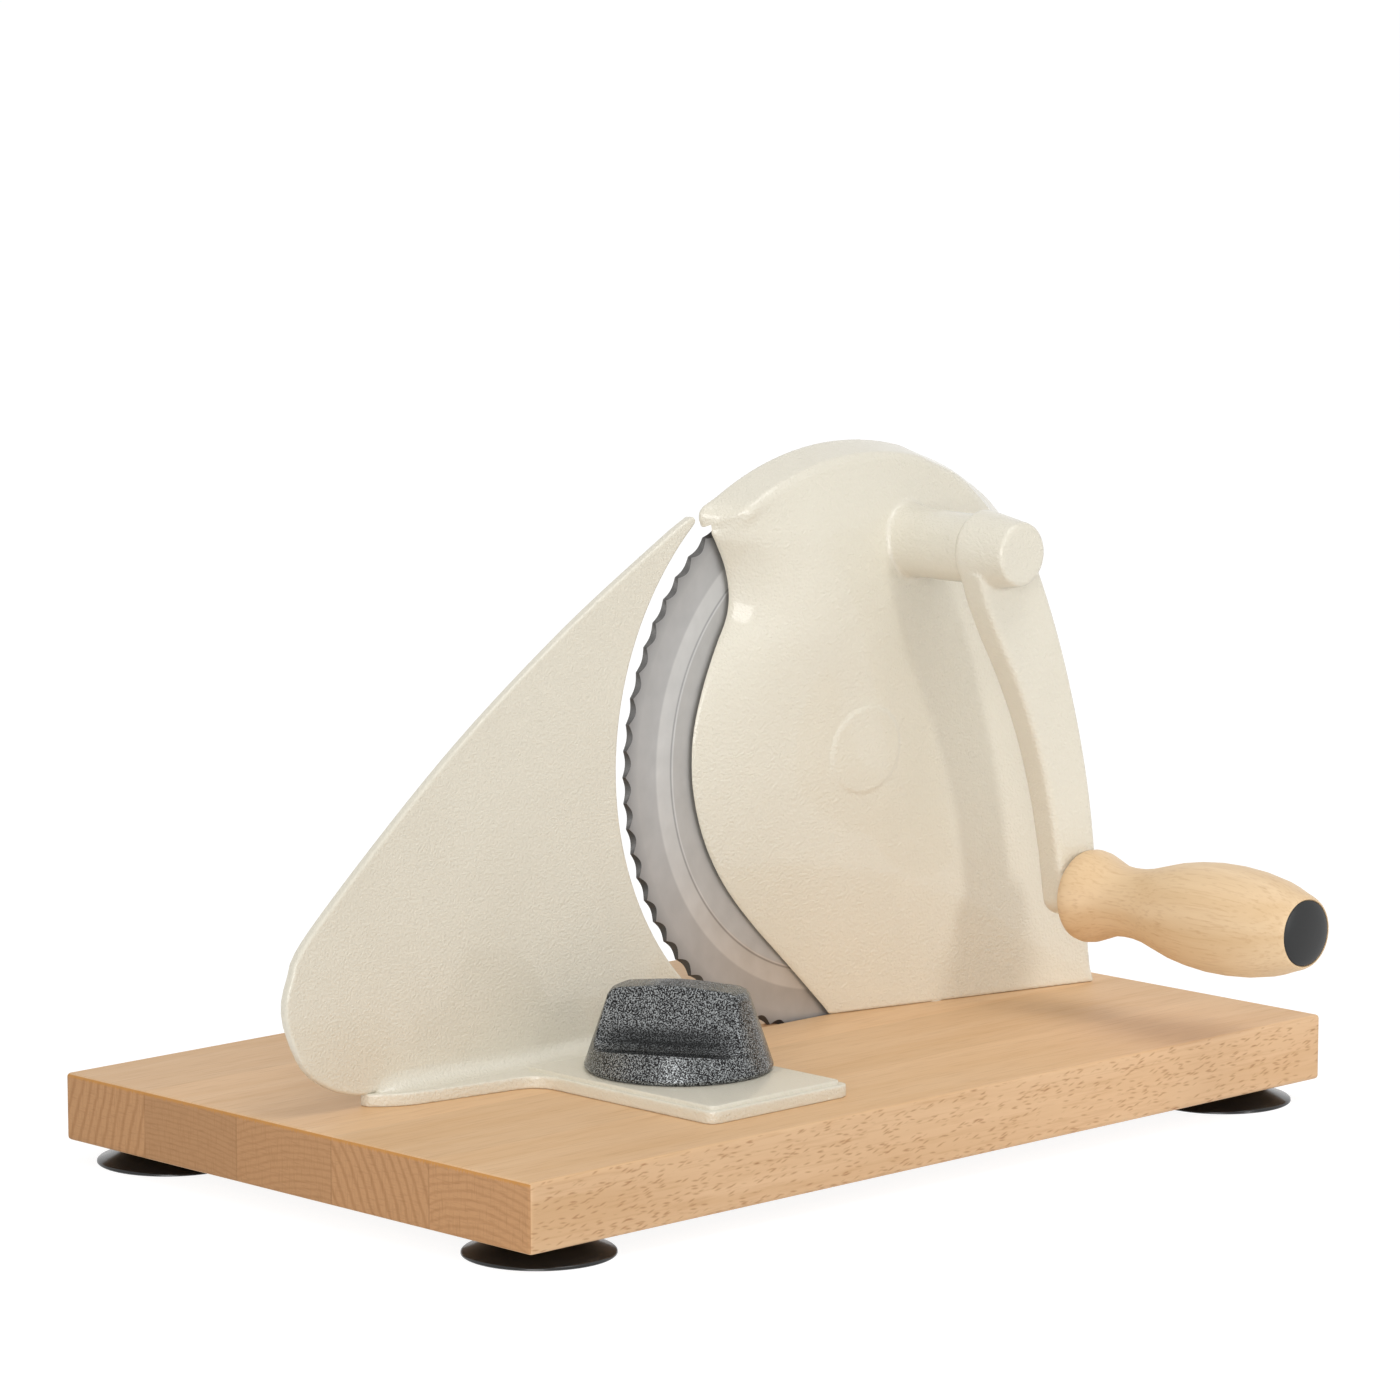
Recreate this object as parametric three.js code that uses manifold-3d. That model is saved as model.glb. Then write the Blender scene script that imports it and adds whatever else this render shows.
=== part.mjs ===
// Hand-cranked bread slicer: a beech board on suction cups carries a cast housing with a scalloped round
// blade, and a sliding gauge fence that sets the thickness of the slice.
// Sizes are millimetres. While the pieces are made, x = 0 is the middle of the board, y = 0 the plane of
// the blade (bread on the +y side, crank on the -y side) and z = 0 the top of the board.

import * as THREE from 'three';
import { mergeVertices } from 'three/addons/utils/BufferGeometryUtils.js';
import Module from 'manifold-3d';

const wasm = await Module();
wasm.setup();

// Clearances
const seatGap = 0.3; // round a piece that is pressed or screwed into another
const runGap = 0.4; // round a piece that turns or slides
const sideGap = 0.5; // between the end faces of turning pieces

// Board
const boardLength = 360;
const boardWidth = 220;
const boardThickness = 22;
const boardNearSide = 117; // from the blade's plane to the near long edge
const boardArris = 1.5;

// Suction cups and their screws
const cupRadius = 23.8;
const cupHeight = 7;
const cupNeckRadius = 10.5;
const cupRim = 1.2;
const cupSeat = 3.5; // rubber between the board and the screw's head
const cupInsetX = 24.4; // from the board's ends to the cup's axis
const cupInsetY = 22.8; // from its long edges
const cupScrewRadius = 2;
const cupScrewDepth = 12;
const screwHeadHeight = 2;
const screwHeadSpread = 2.3; // how far a screw's head stands out from its shank

// Blade
const bladeRadius = 95.8;
const bladeThickness = 1.2;
const bladeDip = 5; // how far the edge runs below the top of the board
const bladeX = 65;
const bladeEdgeBand = 13; // ground band at the edge
const bladeStepBand = 7.5; // flat ring inside the ground band
const bladeStepHeight = 0.3;
const scallopCount = 70;
const scallopDepth = 1.1;
const scallopGrind = 1.5; // width of the ground hollow behind each scallop
const bladeSlotGap = 3; // between the blade's edge and the board
const bladeSlotWidth = 4;

// Gear pair behind the blade
const gearModule = 2;
const bladeGearTeeth = 48;
const pinionTeeth = 23;
const gearWidth = 3.4;
const gearBacklash = 0.4;
const pressureAngle = THREE.MathUtils.degToRad(20);
const gearSetback = 2.8; // from the blade's plane to the gears
const crankLean = THREE.MathUtils.degToRad(14.6); // crank axis off the vertical above the blade's axis

// Blade axle
const axleRadius = 5;
const axleBushWall = 2;
const bladeHubWall = 5;
const bladeHubLength = 8;
const axlePillarRadius = 9;
const axleGrip = 4.5; // length of the stud held in the housing
const clipThickness = 0.8;
const clipWidth = 1.8;
const bladeScrewHeadRadius = 14;
const bladeScrewHeadHeight = 2.6;
const bladeScrewThread = 2.4; // length screwed into the hub
const coinSlotWidth = 2;
const coinSlotDepth = 1.3;

// Housing
const wall = 3.5;
const hoodFar = 1.5; // the hood's rim stands this far beyond the blade's plane
const hoodRim = 3.4; // metal outside the blade's recess at the top
const bladeGuard = 2.8; // air between the blade's edge and the recess
const recessDepth = 1.7; // from the blade's plane to the recess's floor
const gearGap = 1.5;
const hoodRadius = 115.3; // arch of the top
const creaseDrop = 4.1; // the near crease of the hood lies this much lower
const creaseDepth = 13.3; // and this far from the blade's plane
const creaseRound = 1.8;
const creaseEase = 12; // the near face falls back to the crease over about this distance
const edgeDepth = 2.8; // thin front edge along the blade
const cornerDepth = 26; // near corner at the foot
const faceRise = 28.5; // how far the near face swells from the front edge at the neck, less further down
const bellyEase = 45; // over about which distance at the belly
const neckEase = 20; // and at the neck
const bellyReach = 67.4; // the face's front edge, left of the blade's axis
const neckReach = 50.8;
const neckHeight = 56.2; // above the blade's axis
const noseReach = 61.4;
const noseHeight = 81.8;
const lipEdge = 1.5; // the hood's lip hangs this far below the crease
const lipEase = 3.5; // and the neck flows out to it over about this distance
const lipSlope = 1.4; // how fast the lip's edge comes forward from the nose
const footReach = 106; // right end of the housing's foot from the blade's axis
const bossRadius = 11.4;
const bossEnd = 50.1; // from the blade's plane
const bossRoot = 17; // depth at which the flared root of the boss begins
const bossFlare = 4.6;

// Screws that hold the housing from below
const postRadius = 4.6;
const postHeight = 20;
const houseScrewRadius = 2;
const houseScrewBite = 15; // length inside the housing
const counterboreDepth = 6;
const houseScrewSpots = [
  { x: 105, y: -7.5 },
  { x: 130, y: -11 },
  { x: 155, y: -12 },
];

// Crank
const shaftRadius = 4.5;
const bushWall = 1.6;
const bushLength = 12;
const bushFlange = 1;
const pinionHubWall = 3.5;
const pinionHubLength = 4;
const hubRadius = 13.3;
const hubTaper = 2.8;
const hubLength = 19;
const hubCap = 4; // metal in front of the shaft's end
const armThickness = 10;
const armLeftWidths = [13.2, 15.1, 13.8, 12, 11, 10.2]; // from its middle line, hub to handle
const armRightWidths = [12.6, 11.6, 10.4, 9.6, 8.8, 7.9];
const armEndReach = 7.3; // beyond the handle's axis
const armBow = 7; // the sickle's bulge
const armRound = 3;
const crankRadius = 125.5;
const crankSwing = THREE.MathUtils.degToRad(18.9); // handle off the straight-down position
const grubRadius = 2.5;

// Handle
const gripLength = 97;
const gripCollarRadius = 15.6;
const gripWaistRadius = 11.6;
const gripBellyRadius = 18.2;
const gripEndRadius = 11.4;
const boltRadius = 3.5;
const boltHeadRadius = 6;
const boltHeadHeight = 4;
const boltBite = 8; // length screwed into the arm
const handleWasher = 1;
const capRadius = 10.8;
const capDome = 1;
const capPlug = 3;
const capPocket = 9; // depth of the pocket in the grip's end

// Gauge fence
const fenceThickness = 3.5;
const fenceGap = 6.2; // between the blade's edge and the fence's hollow edge
const fenceArcRise = 3; // centre of the fence's hollow edge above the blade's axis
const fenceTipRise = 79.6; // tip of the fin above the blade's axis
const fenceTipRound = 3;
const fenceLeft = -177; // leftmost point of the fin
const fenceLeftHeight = 36;
const fenceBottom = 4.1; // also the thickness of the foot
const lipNearLeft = 11.5; // reach of the foot's lip from the blade's plane
const lipNearRight = 18.5;
const lipLeft = -145;
const lipRight = 4;
const filletRadius = 7;
const footLeft = -86;
const footRight = -25;
const footNear = 97.7;
const footTier = 1.2;
const footTierInset = 2;
const footCorner = 4;

// Clamp of the fence
const fenceTravel = 18;
const knobX = -50.6;
const knobY = -46.2;
const knobRadius = 30.2;
const knobTopRadius = 22;
const knobHeight = 26.6;
const knobCrown = 1.5;
const knobBase = 9.4; // height of the round base below the grip bar
const knobBarTop = 11; // thickness of the grip bar at its top
const knobBarFoot = 25; // and at its foot
const knobScoop = 5; // hollow where the bar meets the base
const knobTurn = THREE.MathUtils.degToRad(-60.5); // direction of the grip bar
const clampBoltRadius = 4;
const insertWall = 2.5;
const insertLength = 16;
const keyWidth = 9.4;
const keyLength = 27;
const keyDepth = 6;
const slideWidth = 19.4;
const slideLength = 28;
const slideThickness = 2;
const clampHeadRadius = 7.5;
const clampHeadHeight = 3.5;
const clampRecess = 9; // depth of the groove under the board

// Places worked out from the sizes above
const boardUnder = -boardThickness;
const bladeZ = bladeRadius - bladeDip;
const bladeNear = -bladeThickness / 2;
const bladeFar = bladeThickness / 2;
const gearCentres = gearModule * (bladeGearTeeth + pinionTeeth) / 2;
const crankX = bladeX + gearCentres * Math.sin(crankLean);
const crankZ = bladeZ + gearCentres * Math.cos(crankLean);
const gearFar = -gearSetback;
const gearNear = gearFar - gearWidth;
const hubBack = -bossEnd - sideGap;
const hubFront = hubBack - hubLength;
const armFront = hubBack - armThickness;
const handleX = crankX + crankRadius * Math.sin(crankSwing);
const handleZ = crankZ - crankRadius * Math.cos(crankSwing);
const gripBack = armFront - handleWasher;
const gripFront = gripBack - gripLength;
const footTop = fenceBottom + footTier;
const fenceArcRadius = bladeRadius + fenceGap;
const fenceTipZ = bladeZ + fenceTipRise;

// Materials
function finish(color, roughness, metalness) {
  return new THREE.MeshStandardMaterial({ color, roughness, metalness });
}
const beech = finish(0xd9b48a, 0.6, 0);
const enamel = finish(0xe4ddcd, 0.4, 0);
const stainless = finish(0xbfbdba, 0.35, 1);
const steel = finish(0x9c9ea1, 0.4, 1);
const bronze = finish(0xa8814a, 0.45, 1);
const nylon = finish(0xe9e6da, 0.55, 0);
const rubber = finish(0x141414, 0.5, 0);
const hammertone = finish(0x55585c, 0.45, 0.4);
const blackPlastic = finish(0x3a3b3f, 0.55, 0);

// Closed meshes and solids
function toSolid(geometry) {
  const bare = geometry.clone();
  bare.deleteAttribute('normal');
  bare.deleteAttribute('uv');
  const merged = mergeVertices(bare, 1e-4);
  const triangles = [];
  const index = merged.index.array;
  for (let i = 0; i < index.length; i += 3) {
    const [a, b, c] = [index[i], index[i + 1], index[i + 2]];
    if (a !== b && b !== c && c !== a) triangles.push(a, b, c);
  }
  return new wasm.Manifold(new wasm.Mesh({
    numProp: 3,
    vertProperties: new Float32Array(merged.getAttribute('position').array),
    triVerts: new Uint32Array(triangles),
  }));
}

function toGeometry(solid) {
  const mesh = solid.getMesh();
  const geometry = new THREE.BufferGeometry();
  geometry.setAttribute('position', new THREE.BufferAttribute(mesh.vertProperties, 3));
  geometry.setIndex(new THREE.BufferAttribute(mesh.triVerts, 1));
  geometry.computeVertexNormals();
  return geometry;
}

function join(first, ...others) {
  return others.reduce((solid, other) => solid.add(toSolid(other)), toSolid(first));
}

function cut(geometry, ...tools) {
  return toGeometry(tools.reduce((solid, tool) => solid.subtract(toSolid(tool)), toSolid(geometry)));
}

// A profile of [radius, height] pairs turned about the y axis or the z axis
function turnedY(profile, segments) {
  return new THREE.LatheGeometry(profile.map(([r, y]) => new THREE.Vector2(r, y)), segments);
}

function turnedZ(profile, segments) {
  return turnedY(profile, segments).rotateX(Math.PI / 2);
}

function rodY(radius, near, far, segments = 20) {
  return turnedY([[0, near], [radius, near], [radius, far], [0, far]], segments);
}

function rodZ(radius, low, high, segments = 20) {
  return turnedZ([[0, low], [radius, low], [radius, high], [0, high]], segments);
}

function sleeveY(inner, outer, near, far, segments = 20) {
  return turnedY([[inner, near], [outer, near], [outer, far], [inner, far], [inner, near]], segments);
}

// A shape drawn in x and z, standing upright between two depths
function standing(shape, near, far, curveSegments = 12) {
  const geometry = new THREE.ExtrudeGeometry(shape, { depth: far - near, bevelEnabled: false, curveSegments });
  return geometry.rotateX(Math.PI / 2).translate(0, far, 0);
}

// A shape drawn in x and y, lying between two heights
function lying(shape, low, high, curveSegments = 12) {
  const geometry = new THREE.ExtrudeGeometry(shape, { depth: high - low, bevelEnabled: false, curveSegments });
  return geometry.translate(0, 0, low);
}

function roundedRectangle(x0, y0, x1, y1, r) {
  const shape = new THREE.Shape();
  shape.moveTo(x0 + r, y0);
  shape.lineTo(x1 - r, y0);
  shape.absarc(x1 - r, y0 + r, r, -Math.PI / 2, 0);
  shape.lineTo(x1, y1 - r);
  shape.absarc(x1 - r, y1 - r, r, 0, Math.PI / 2);
  shape.lineTo(x0 + r, y1);
  shape.absarc(x0 + r, y1 - r, r, Math.PI / 2, Math.PI);
  shape.lineTo(x0, y0 + r);
  shape.absarc(x0 + r, y0 + r, r, Math.PI, Math.PI * 1.5);
  return shape;
}

// A slot with round ends, long in y
function slotShape(x, yLow, yHigh, width) {
  return roundedRectangle(x - width / 2, yLow, x + width / 2, yHigh, width / 2 - 0.01);
}

// Rings of equal count joined to each other, each end closed by a fan to its own tip
function loft(rings, firstTip, lastTip) {
  const count = rings[0].length;
  const points = [firstTip, ...rings.flat(), lastTip];
  const index = [];
  for (let i = 0; i < count; i += 1) {
    const next = (i + 1) % count;
    index.push(0, 1 + i, 1 + next);
    for (let r = 0; r + 1 < rings.length; r += 1) {
      const a = 1 + r * count + i;
      const b = 1 + r * count + next;
      index.push(a, a + count, b, b, a + count, b + count);
    }
    const last = 1 + (rings.length - 1) * count;
    index.push(points.length - 1, last + next, last + i);
  }
  const geometry = new THREE.BufferGeometry().setFromPoints(points);
  geometry.setIndex(index);
  geometry.computeVertexNormals();
  return geometry;
}

const slicer = new THREE.Group();

function add(name, geometry, material) {
  const mesh = new THREE.Mesh(geometry, material);
  mesh.name = name;
  slicer.add(mesh);
}

// A screw that points up from its head, with its seat at the given height
function screwZ(shank, seat, tip) {
  const head = shank + screwHeadSpread;
  return turnedZ([
    [0, seat - screwHeadHeight],
    [head * 0.7, seat - screwHeadHeight],
    [head, seat - screwHeadHeight * 0.4],
    [head, seat],
    [shank, seat],
    [shank, tip - shank],
    [0, tip],
  ], 10);
}

// Board of glued staves, with a slot for the blade, a stepped slot for the fence's clamp and screw holes
function cupSpots() {
  const x = boardLength / 2 - cupInsetX;
  const near = -boardNearSide + cupInsetY;
  const far = boardWidth - boardNearSide - cupInsetY;
  return [
    { name: 'near_left', x: -x, y: near },
    { name: 'near_right', x, y: near },
    { name: 'far_left', x: -x, y: far },
    { name: 'far_right', x, y: far },
  ];
}

const slotNear = knobY - fenceTravel;

function boardGeometry() {
  const inset = boardArris;
  const blank = new THREE.ExtrudeGeometry(
    roundedRectangle(
      -boardLength / 2 + inset,
      -boardNearSide + inset,
      boardLength / 2 - inset,
      boardWidth - boardNearSide - inset,
      boardArris,
    ),
    {
      depth: boardThickness - 2 * boardArris,
      bevelThickness: boardArris,
      bevelSize: boardArris,
      bevelSegments: 1,
      curveSegments: 2,
    },
  ).translate(0, 0, boardUnder + boardArris);
  const bladeSlot = rodY(bladeRadius + bladeSlotGap, -bladeSlotWidth / 2, bladeSlotWidth / 2, 64);
  const clampSlot = slotShape(
    knobX,
    slotNear - keyLength / 2 - runGap,
    knobY + keyLength / 2 + runGap,
    keyWidth + 2 * runGap,
  );
  const clampGroove = slotShape(
    knobX,
    slotNear - slideLength / 2 - runGap,
    knobY + slideLength / 2 + runGap,
    slideWidth + 2 * runGap,
  );
  const holes = [
    bladeSlot.translate(bladeX, 0, bladeZ),
    lying(clampSlot, boardUnder - 1, 1, 2),
    lying(clampGroove, boardUnder - 1, boardUnder + clampRecess, 2),
  ];
  for (const spot of cupSpots()) {
    const hole = rodZ(cupScrewRadius + seatGap, boardUnder - 1, boardUnder + cupScrewDepth + seatGap, 10);
    holes.push(hole.translate(spot.x, spot.y, 0));
  }
  const headRadius = houseScrewRadius + screwHeadSpread + seatGap;
  for (const spot of houseScrewSpots) {
    holes.push(rodZ(houseScrewRadius + seatGap, boardUnder - 1, 1, 10).translate(spot.x, spot.y, 0));
    const counterbore = rodZ(headRadius, boardUnder - 1, boardUnder + counterboreDepth, 16);
    holes.push(counterbore.translate(spot.x, spot.y, 0));
  }
  return cut(blank, ...holes);
}
add('base_board', boardGeometry(), beech);

// Suction cups, each held by one screw through its neck
function cupGeometry() {
  const low = boardUnder - cupHeight;
  const bore = cupScrewRadius + seatGap;
  const head = cupScrewRadius + screwHeadSpread;
  return turnedZ([
    [bore, boardUnder - cupSeat],
    [head + 1.5, boardUnder - cupSeat],
    [cupRadius - cupRim, low],
    [cupRadius, low],
    [cupRadius, low + cupRim],
    [cupNeckRadius + 1, boardUnder - 1],
    [cupNeckRadius, boardUnder],
    [bore, boardUnder],
    [bore, boardUnder - cupSeat],
  ], 18);
}
for (const spot of cupSpots()) {
  const screw = screwZ(cupScrewRadius, boardUnder - cupSeat, boardUnder + cupScrewDepth);
  add(`suction_cup_${spot.name}`, cupGeometry().translate(spot.x, spot.y, 0), rubber);
  add(`cup_screw_${spot.name}`, screw.translate(spot.x, spot.y, 0), steel);
}

// Housing: one thin casting, open towards the blade, drawn as a far outline on the blade's side and a near
// outline on the crank's side. Both run up the front edge, round the nose, over the hood, down the back
// and along the foot.
const footX = bladeX + footReach;
const footStart = bladeX - 3.2;
const noseX = bladeX - noseReach;
const noseZ = bladeZ + noseHeight;
const pinionTip = gearModule * (pinionTeeth / 2 + 0.9);
const hoodTop = Math.max(
  bladeZ + bladeRadius + bladeGuard + hoodRim,
  crankZ + pinionTip + 2 * gearGap + wall,
);
const hoodX = bladeX + 2;
const hoodZ = hoodTop - hoodRadius;
const hoodStart = THREE.MathUtils.degToRad(118.5);
const hoodEnd = THREE.MathUtils.degToRad(75);

function hoodPoint(radius, angle) {
  return new THREE.Vector2(hoodX + radius * Math.cos(angle), hoodZ + radius * Math.sin(angle));
}

function hoodArc(radius) {
  return new THREE.ArcCurve(hoodX, hoodZ, radius, hoodStart, hoodEnd, true);
}

function spline(...points) {
  return new THREE.SplineCurve(points.map((p) => (Array.isArray(p) ? new THREE.Vector2(...p) : p)));
}

const frontEdge = spline(
  [footStart, 0],
  [bladeX - 23.8, bladeZ - 70.8],
  [bladeX - 53.5, bladeZ - 39.8],
  [bladeX - 62.5, bladeZ - 23.8],
  [bladeX - bellyReach, bladeZ + 2],
  [bladeX - 63, bladeZ + 25.2],
  [bladeX - 52.2, bladeZ + neckHeight - 8.4],
  [bladeX - neckReach, bladeZ + neckHeight],
  [bladeX - 52.7, bladeZ + neckHeight + 9],
  [bladeX - 58.9, bladeZ + neckHeight + 20.6],
);
const frontTop = frontEdge.points.at(-1);
const nearRadius = hoodRadius - creaseDrop;
const backEdge = spline(
  hoodPoint(nearRadius, hoodEnd),
  [footX - 53, bladeZ + 82],
  [footX - 24.5, bladeZ + 46],
  [footX - 12, bladeZ + 12],
  [footX - 8, bladeZ - 40],
  [footX - 4.5, 0],
);
const stretches = [
  { far: frontEdge, near: frontEdge, count: 17, round: 0.6 },
  {
    far: spline(frontTop, [noseX + 0.8, noseZ - 2.6], [noseX, noseZ], [noseX + 1.4, noseZ + 3],
      hoodPoint(hoodRadius, hoodStart)),
    near: spline(frontTop, [noseX + 4.8, noseZ - 3], [noseX + 7.6, noseZ - 1.2], hoodPoint(nearRadius, hoodStart)),
    count: 6,
    round: 0.6,
    last: creaseRound,
  },
  { far: hoodArc(hoodRadius), near: hoodArc(nearRadius), count: 9, round: creaseRound },
  {
    far: spline(hoodPoint(hoodRadius, hoodEnd), [footX - 46, bladeZ + 85.5], [footX - 22, bladeZ + 67],
      [footX - 8, bladeZ + 30], [footX - 3.5, bladeZ - 12], [footX, 0]),
    near: backEdge,
    count: 10,
    round: creaseRound,
  },
  {
    far: new THREE.LineCurve(new THREE.Vector2(footX, 0), new THREE.Vector2(footStart, 0)),
    near: new THREE.LineCurve(new THREE.Vector2(footX - 4.5, 0), new THREE.Vector2(footStart, 0)),
    count: 4,
    round: 0,
  },
];
const faceCentre = new THREE.Vector2(bladeX + 20, bladeZ + 4);
const outerSteps = [0.08, 0.18, 0.33, 0.6];
const hollowSteps = [0.2, 0.55];

function towardsCentre(point, distance) {
  const way = faceCentre.clone().sub(point);
  return point.clone().addScaledVector(way, distance / way.length());
}

// Where an edge that climbs or falls steadily has the given height
const frontLine = frontEdge.getPoints(60);
const backLine = backEdge.getPoints(60);

function edgeAt(line, z) {
  const i = line.findIndex((p, k) => k > 0 && (p.y - z) * (line[k - 1].y - z) <= 0 && p.y !== line[k - 1].y);
  if (i < 0) return line.reduce((best, p) => (Math.abs(p.y - z) < Math.abs(best.y - z) ? p : best)).x;
  const [a, b] = [line[i - 1], line[i]];
  return a.x + (b.x - a.x) * (z - a.y) / (b.y - a.y);
}

// Depth of the near face: it swells from the thin front edge, more and more sharply towards the neck, runs on
// to the edge of the back, falls to the hood's crease and flows out to the hood's lip at the nose
function faceLevel(point) {
  const { lerp, smoothstep } = THREE.MathUtils;
  const left = edgeAt(frontLine, point.y);
  const width = edgeAt(backLine, point.y) - left;
  const neck = smoothstep(point.y, bladeZ, bladeZ + neckHeight);
  const rise = faceRise * smoothstep(point.y, 0, crankZ);
  const ease = lerp(bellyEase, neckEase, neck);
  const backDepth = lerp(cornerDepth, creaseDepth, point.y / backLine[0].y);
  const slope = (backDepth - edgeDepth - rise * (1 - Math.exp(-width / ease))) / width;
  const run = Math.max(point.x - left, 0);
  const level = edgeDepth + rise * (1 - Math.exp(-run / ease)) + slope * run;
  const fromCrease = Math.max(nearRadius - Math.hypot(point.x - hoodX, point.y - hoodZ), 0);
  const lip = Math.min(creaseDepth, edgeDepth + lipSlope * Math.max(point.x - noseX - lipEdge, 0));
  const flow = Math.max(lip - level, 0) * Math.exp(-Math.max(fromCrease - lipEdge, 0) / lipEase);
  return level + neck * (flow - Math.max(level - creaseDepth, 0) * Math.exp(-fromCrease / creaseEase));
}

const place = (point, y) => new THREE.Vector3(point.x, y, point.y);

// The casting's outside with inset 0, or the hollow inside it with the wall's thickness as inset
function housingSkin(inset, farY, faceSteps) {
  const outline = stretches.flatMap(({ far, near, count, round, last = round }) => (
    Array.from({ length: count }, (_, i) => {
      const edge = near.getPointAt(i / count);
      const deep = faceLevel(edge) - inset;
      return {
        far: towardsCentre(far.getPointAt(i / count), inset),
        near: towardsCentre(edge, inset),
        deep,
        round: Math.min(THREE.MathUtils.lerp(round, last, i / count), Math.max(deep, 0) / 3),
      };
    })
  ));
  const rims = outline.map((p) => (p.round > 0 ? towardsCentre(p.near, p.round) : p.near));
  const face = [0, ...faceSteps].map((step) => rims.map((rim) => {
    const point = rim.clone().lerp(faceCentre, step);
    return place(point, inset - faceLevel(point));
  }));
  const rings = [
    outline.map((p) => place(p.far, farY)),
    outline.map((p) => place(p.far.clone().lerp(p.near, p.deep > p.round ? 0.75 : 0), p.round - p.deep)),
    ...face,
  ];
  return loft(rings, place(faceCentre, farY), place(faceCentre, inset - faceLevel(faceCentre)));
}

const bladeHubRadius = axleRadius + runGap + axleBushWall + seatGap + bladeHubWall;
const bladeHubNear = bladeNear - bladeHubLength;
const pillarEnd = bladeHubNear - sideGap;
const axleFoot = pillarEnd - axleGrip;
const shaftBore = shaftRadius + runGap + bushWall + seatGap;
const innerBossEnd = gearNear - pinionHubLength - bushFlange - 2 * sideGap;
const gearTip = gearModule * (bladeGearTeeth / 2 + 0.9);

function housingGeometry() {
  const outside = toSolid(housingSkin(0, hoodFar, outerSteps));
  const boss = turnedY([
    [0, -bossEnd],
    [bossRadius - 0.8, -bossEnd],
    [bossRadius, -bossEnd + 0.8],
    [bossRadius + 0.3, -bossRoot - 12],
    [bossRadius + 0.16 * bossFlare, -bossRoot - 9],
    [bossRadius + 0.36 * bossFlare, -bossRoot - 6.4],
    [bossRadius + 0.64 * bossFlare, -bossRoot - 4],
    [bossRadius + bossFlare, -bossRoot],
    [0, -bossRoot],
  ], 28).translate(crankX, 0, crankZ);
  const hollow = toSolid(housingSkin(wall, hoodFar + 1, hollowSteps));
  const inner = join(
    rodY(axlePillarRadius, -cornerDepth, pillarEnd).translate(bladeX, 0, bladeZ),
    rodY(bossRadius, -cornerDepth, innerBossEnd).translate(crankX, 0, crankZ),
    ...houseScrewSpots.map((spot) => rodZ(postRadius, 0, postHeight, 14).translate(spot.x, spot.y, 0)),
  ).intersect(outside);
  const recessRadius = bladeRadius + bladeGuard;
  const tools = [
    rodY(recessRadius, -recessDepth, hoodFar + 2, 48).translate(bladeX, 0, bladeZ),
    rodY(gearTip + gearGap, gearNear - sideGap, hoodFar + 2, 36).translate(bladeX, 0, bladeZ),
    rodY(pinionTip + gearGap, gearNear - sideGap, hoodFar + 2, 28).translate(crankX, 0, crankZ),
    rodY(axleRadius + seatGap, axleFoot - seatGap, 0).translate(bladeX, 0, bladeZ),
    rodY(shaftBore, -bossEnd - 1, 0).translate(crankX, 0, crankZ),
    ...houseScrewSpots.map((spot) => (
      rodZ(houseScrewRadius + seatGap, -1, houseScrewBite + seatGap, 10).translate(spot.x, spot.y, 0)
    )),
  ];
  const shell = outside.add(toSolid(boss)).subtract(hollow).add(inner);
  return toGeometry(tools.reduce((solid, tool) => solid.subtract(toSolid(tool)), shell));
}
add('housing', housingGeometry(), enamel);

houseScrewSpots.forEach((spot, i) => {
  const screw = screwZ(houseScrewRadius, boardUnder + counterboreDepth, houseScrewBite);
  add(`housing_screw_${i + 1}`, screw.translate(spot.x, spot.y, 0), steel);
});

// Gears with involute teeth, one tooth pointing along the phase angle
function involute(angle) {
  return Math.tan(angle) - angle;
}

function gearShape(teeth, phase) {
  const pitch = gearModule * teeth / 2;
  const base = pitch * Math.cos(pressureAngle);
  const radii = [pitch - 1.25 * gearModule, pitch, pitch + 0.9 * gearModule];
  const halfTooth = (radius) => {
    const pressure = Math.acos(base / Math.max(radius, base));
    const halfPitch = Math.PI / (2 * teeth) - gearBacklash / (2 * pitch);
    return halfPitch + involute(pressureAngle) - involute(pressure);
  };
  const shape = new THREE.Shape();
  for (let tooth = 0; tooth < teeth; tooth += 1) {
    const middle = phase + tooth * 2 * Math.PI / teeth;
    const flank = radii.map((r) => [r, middle - halfTooth(r)]);
    const back = radii.toReversed().map((r) => [r, middle + halfTooth(r)]);
    for (const [r, angle] of [...flank, ...back]) {
      const x = r * Math.cos(angle);
      const z = r * Math.sin(angle);
      if (shape.curves.length === 0 && shape.currentPoint.lengthSq() === 0) shape.moveTo(x, z);
      else shape.lineTo(x, z);
    }
  }
  shape.closePath();
  return shape;
}
const meshAngle = Math.PI / 2 - crankLean;

// Blade axle: a stud held in the housing, with a bush, the gear's hub and a clip on it
const axleBushRadius = axleRadius + runGap + axleBushWall;
const threadEnd = bladeNear - bladeScrewThread;
const axleTip = threadEnd - 0.5 * sideGap;
const clipFar = axleTip - 0.5;
const clipNear = clipFar - clipThickness;
const bushFar = clipNear - seatGap;

function axleGeometry() {
  const groove = axleRadius - clipWidth / 2;
  return turnedY([
    [0, axleFoot],
    [axleRadius, axleFoot],
    [axleRadius, clipNear - seatGap / 2],
    [groove, clipNear - seatGap / 2],
    [groove, clipFar + seatGap / 2],
    [axleRadius, clipFar + seatGap / 2],
    [axleRadius, axleTip],
    [0, axleTip],
  ], 20).translate(bladeX, 0, bladeZ);
}
add('axle_stud', axleGeometry(), steel);

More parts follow.
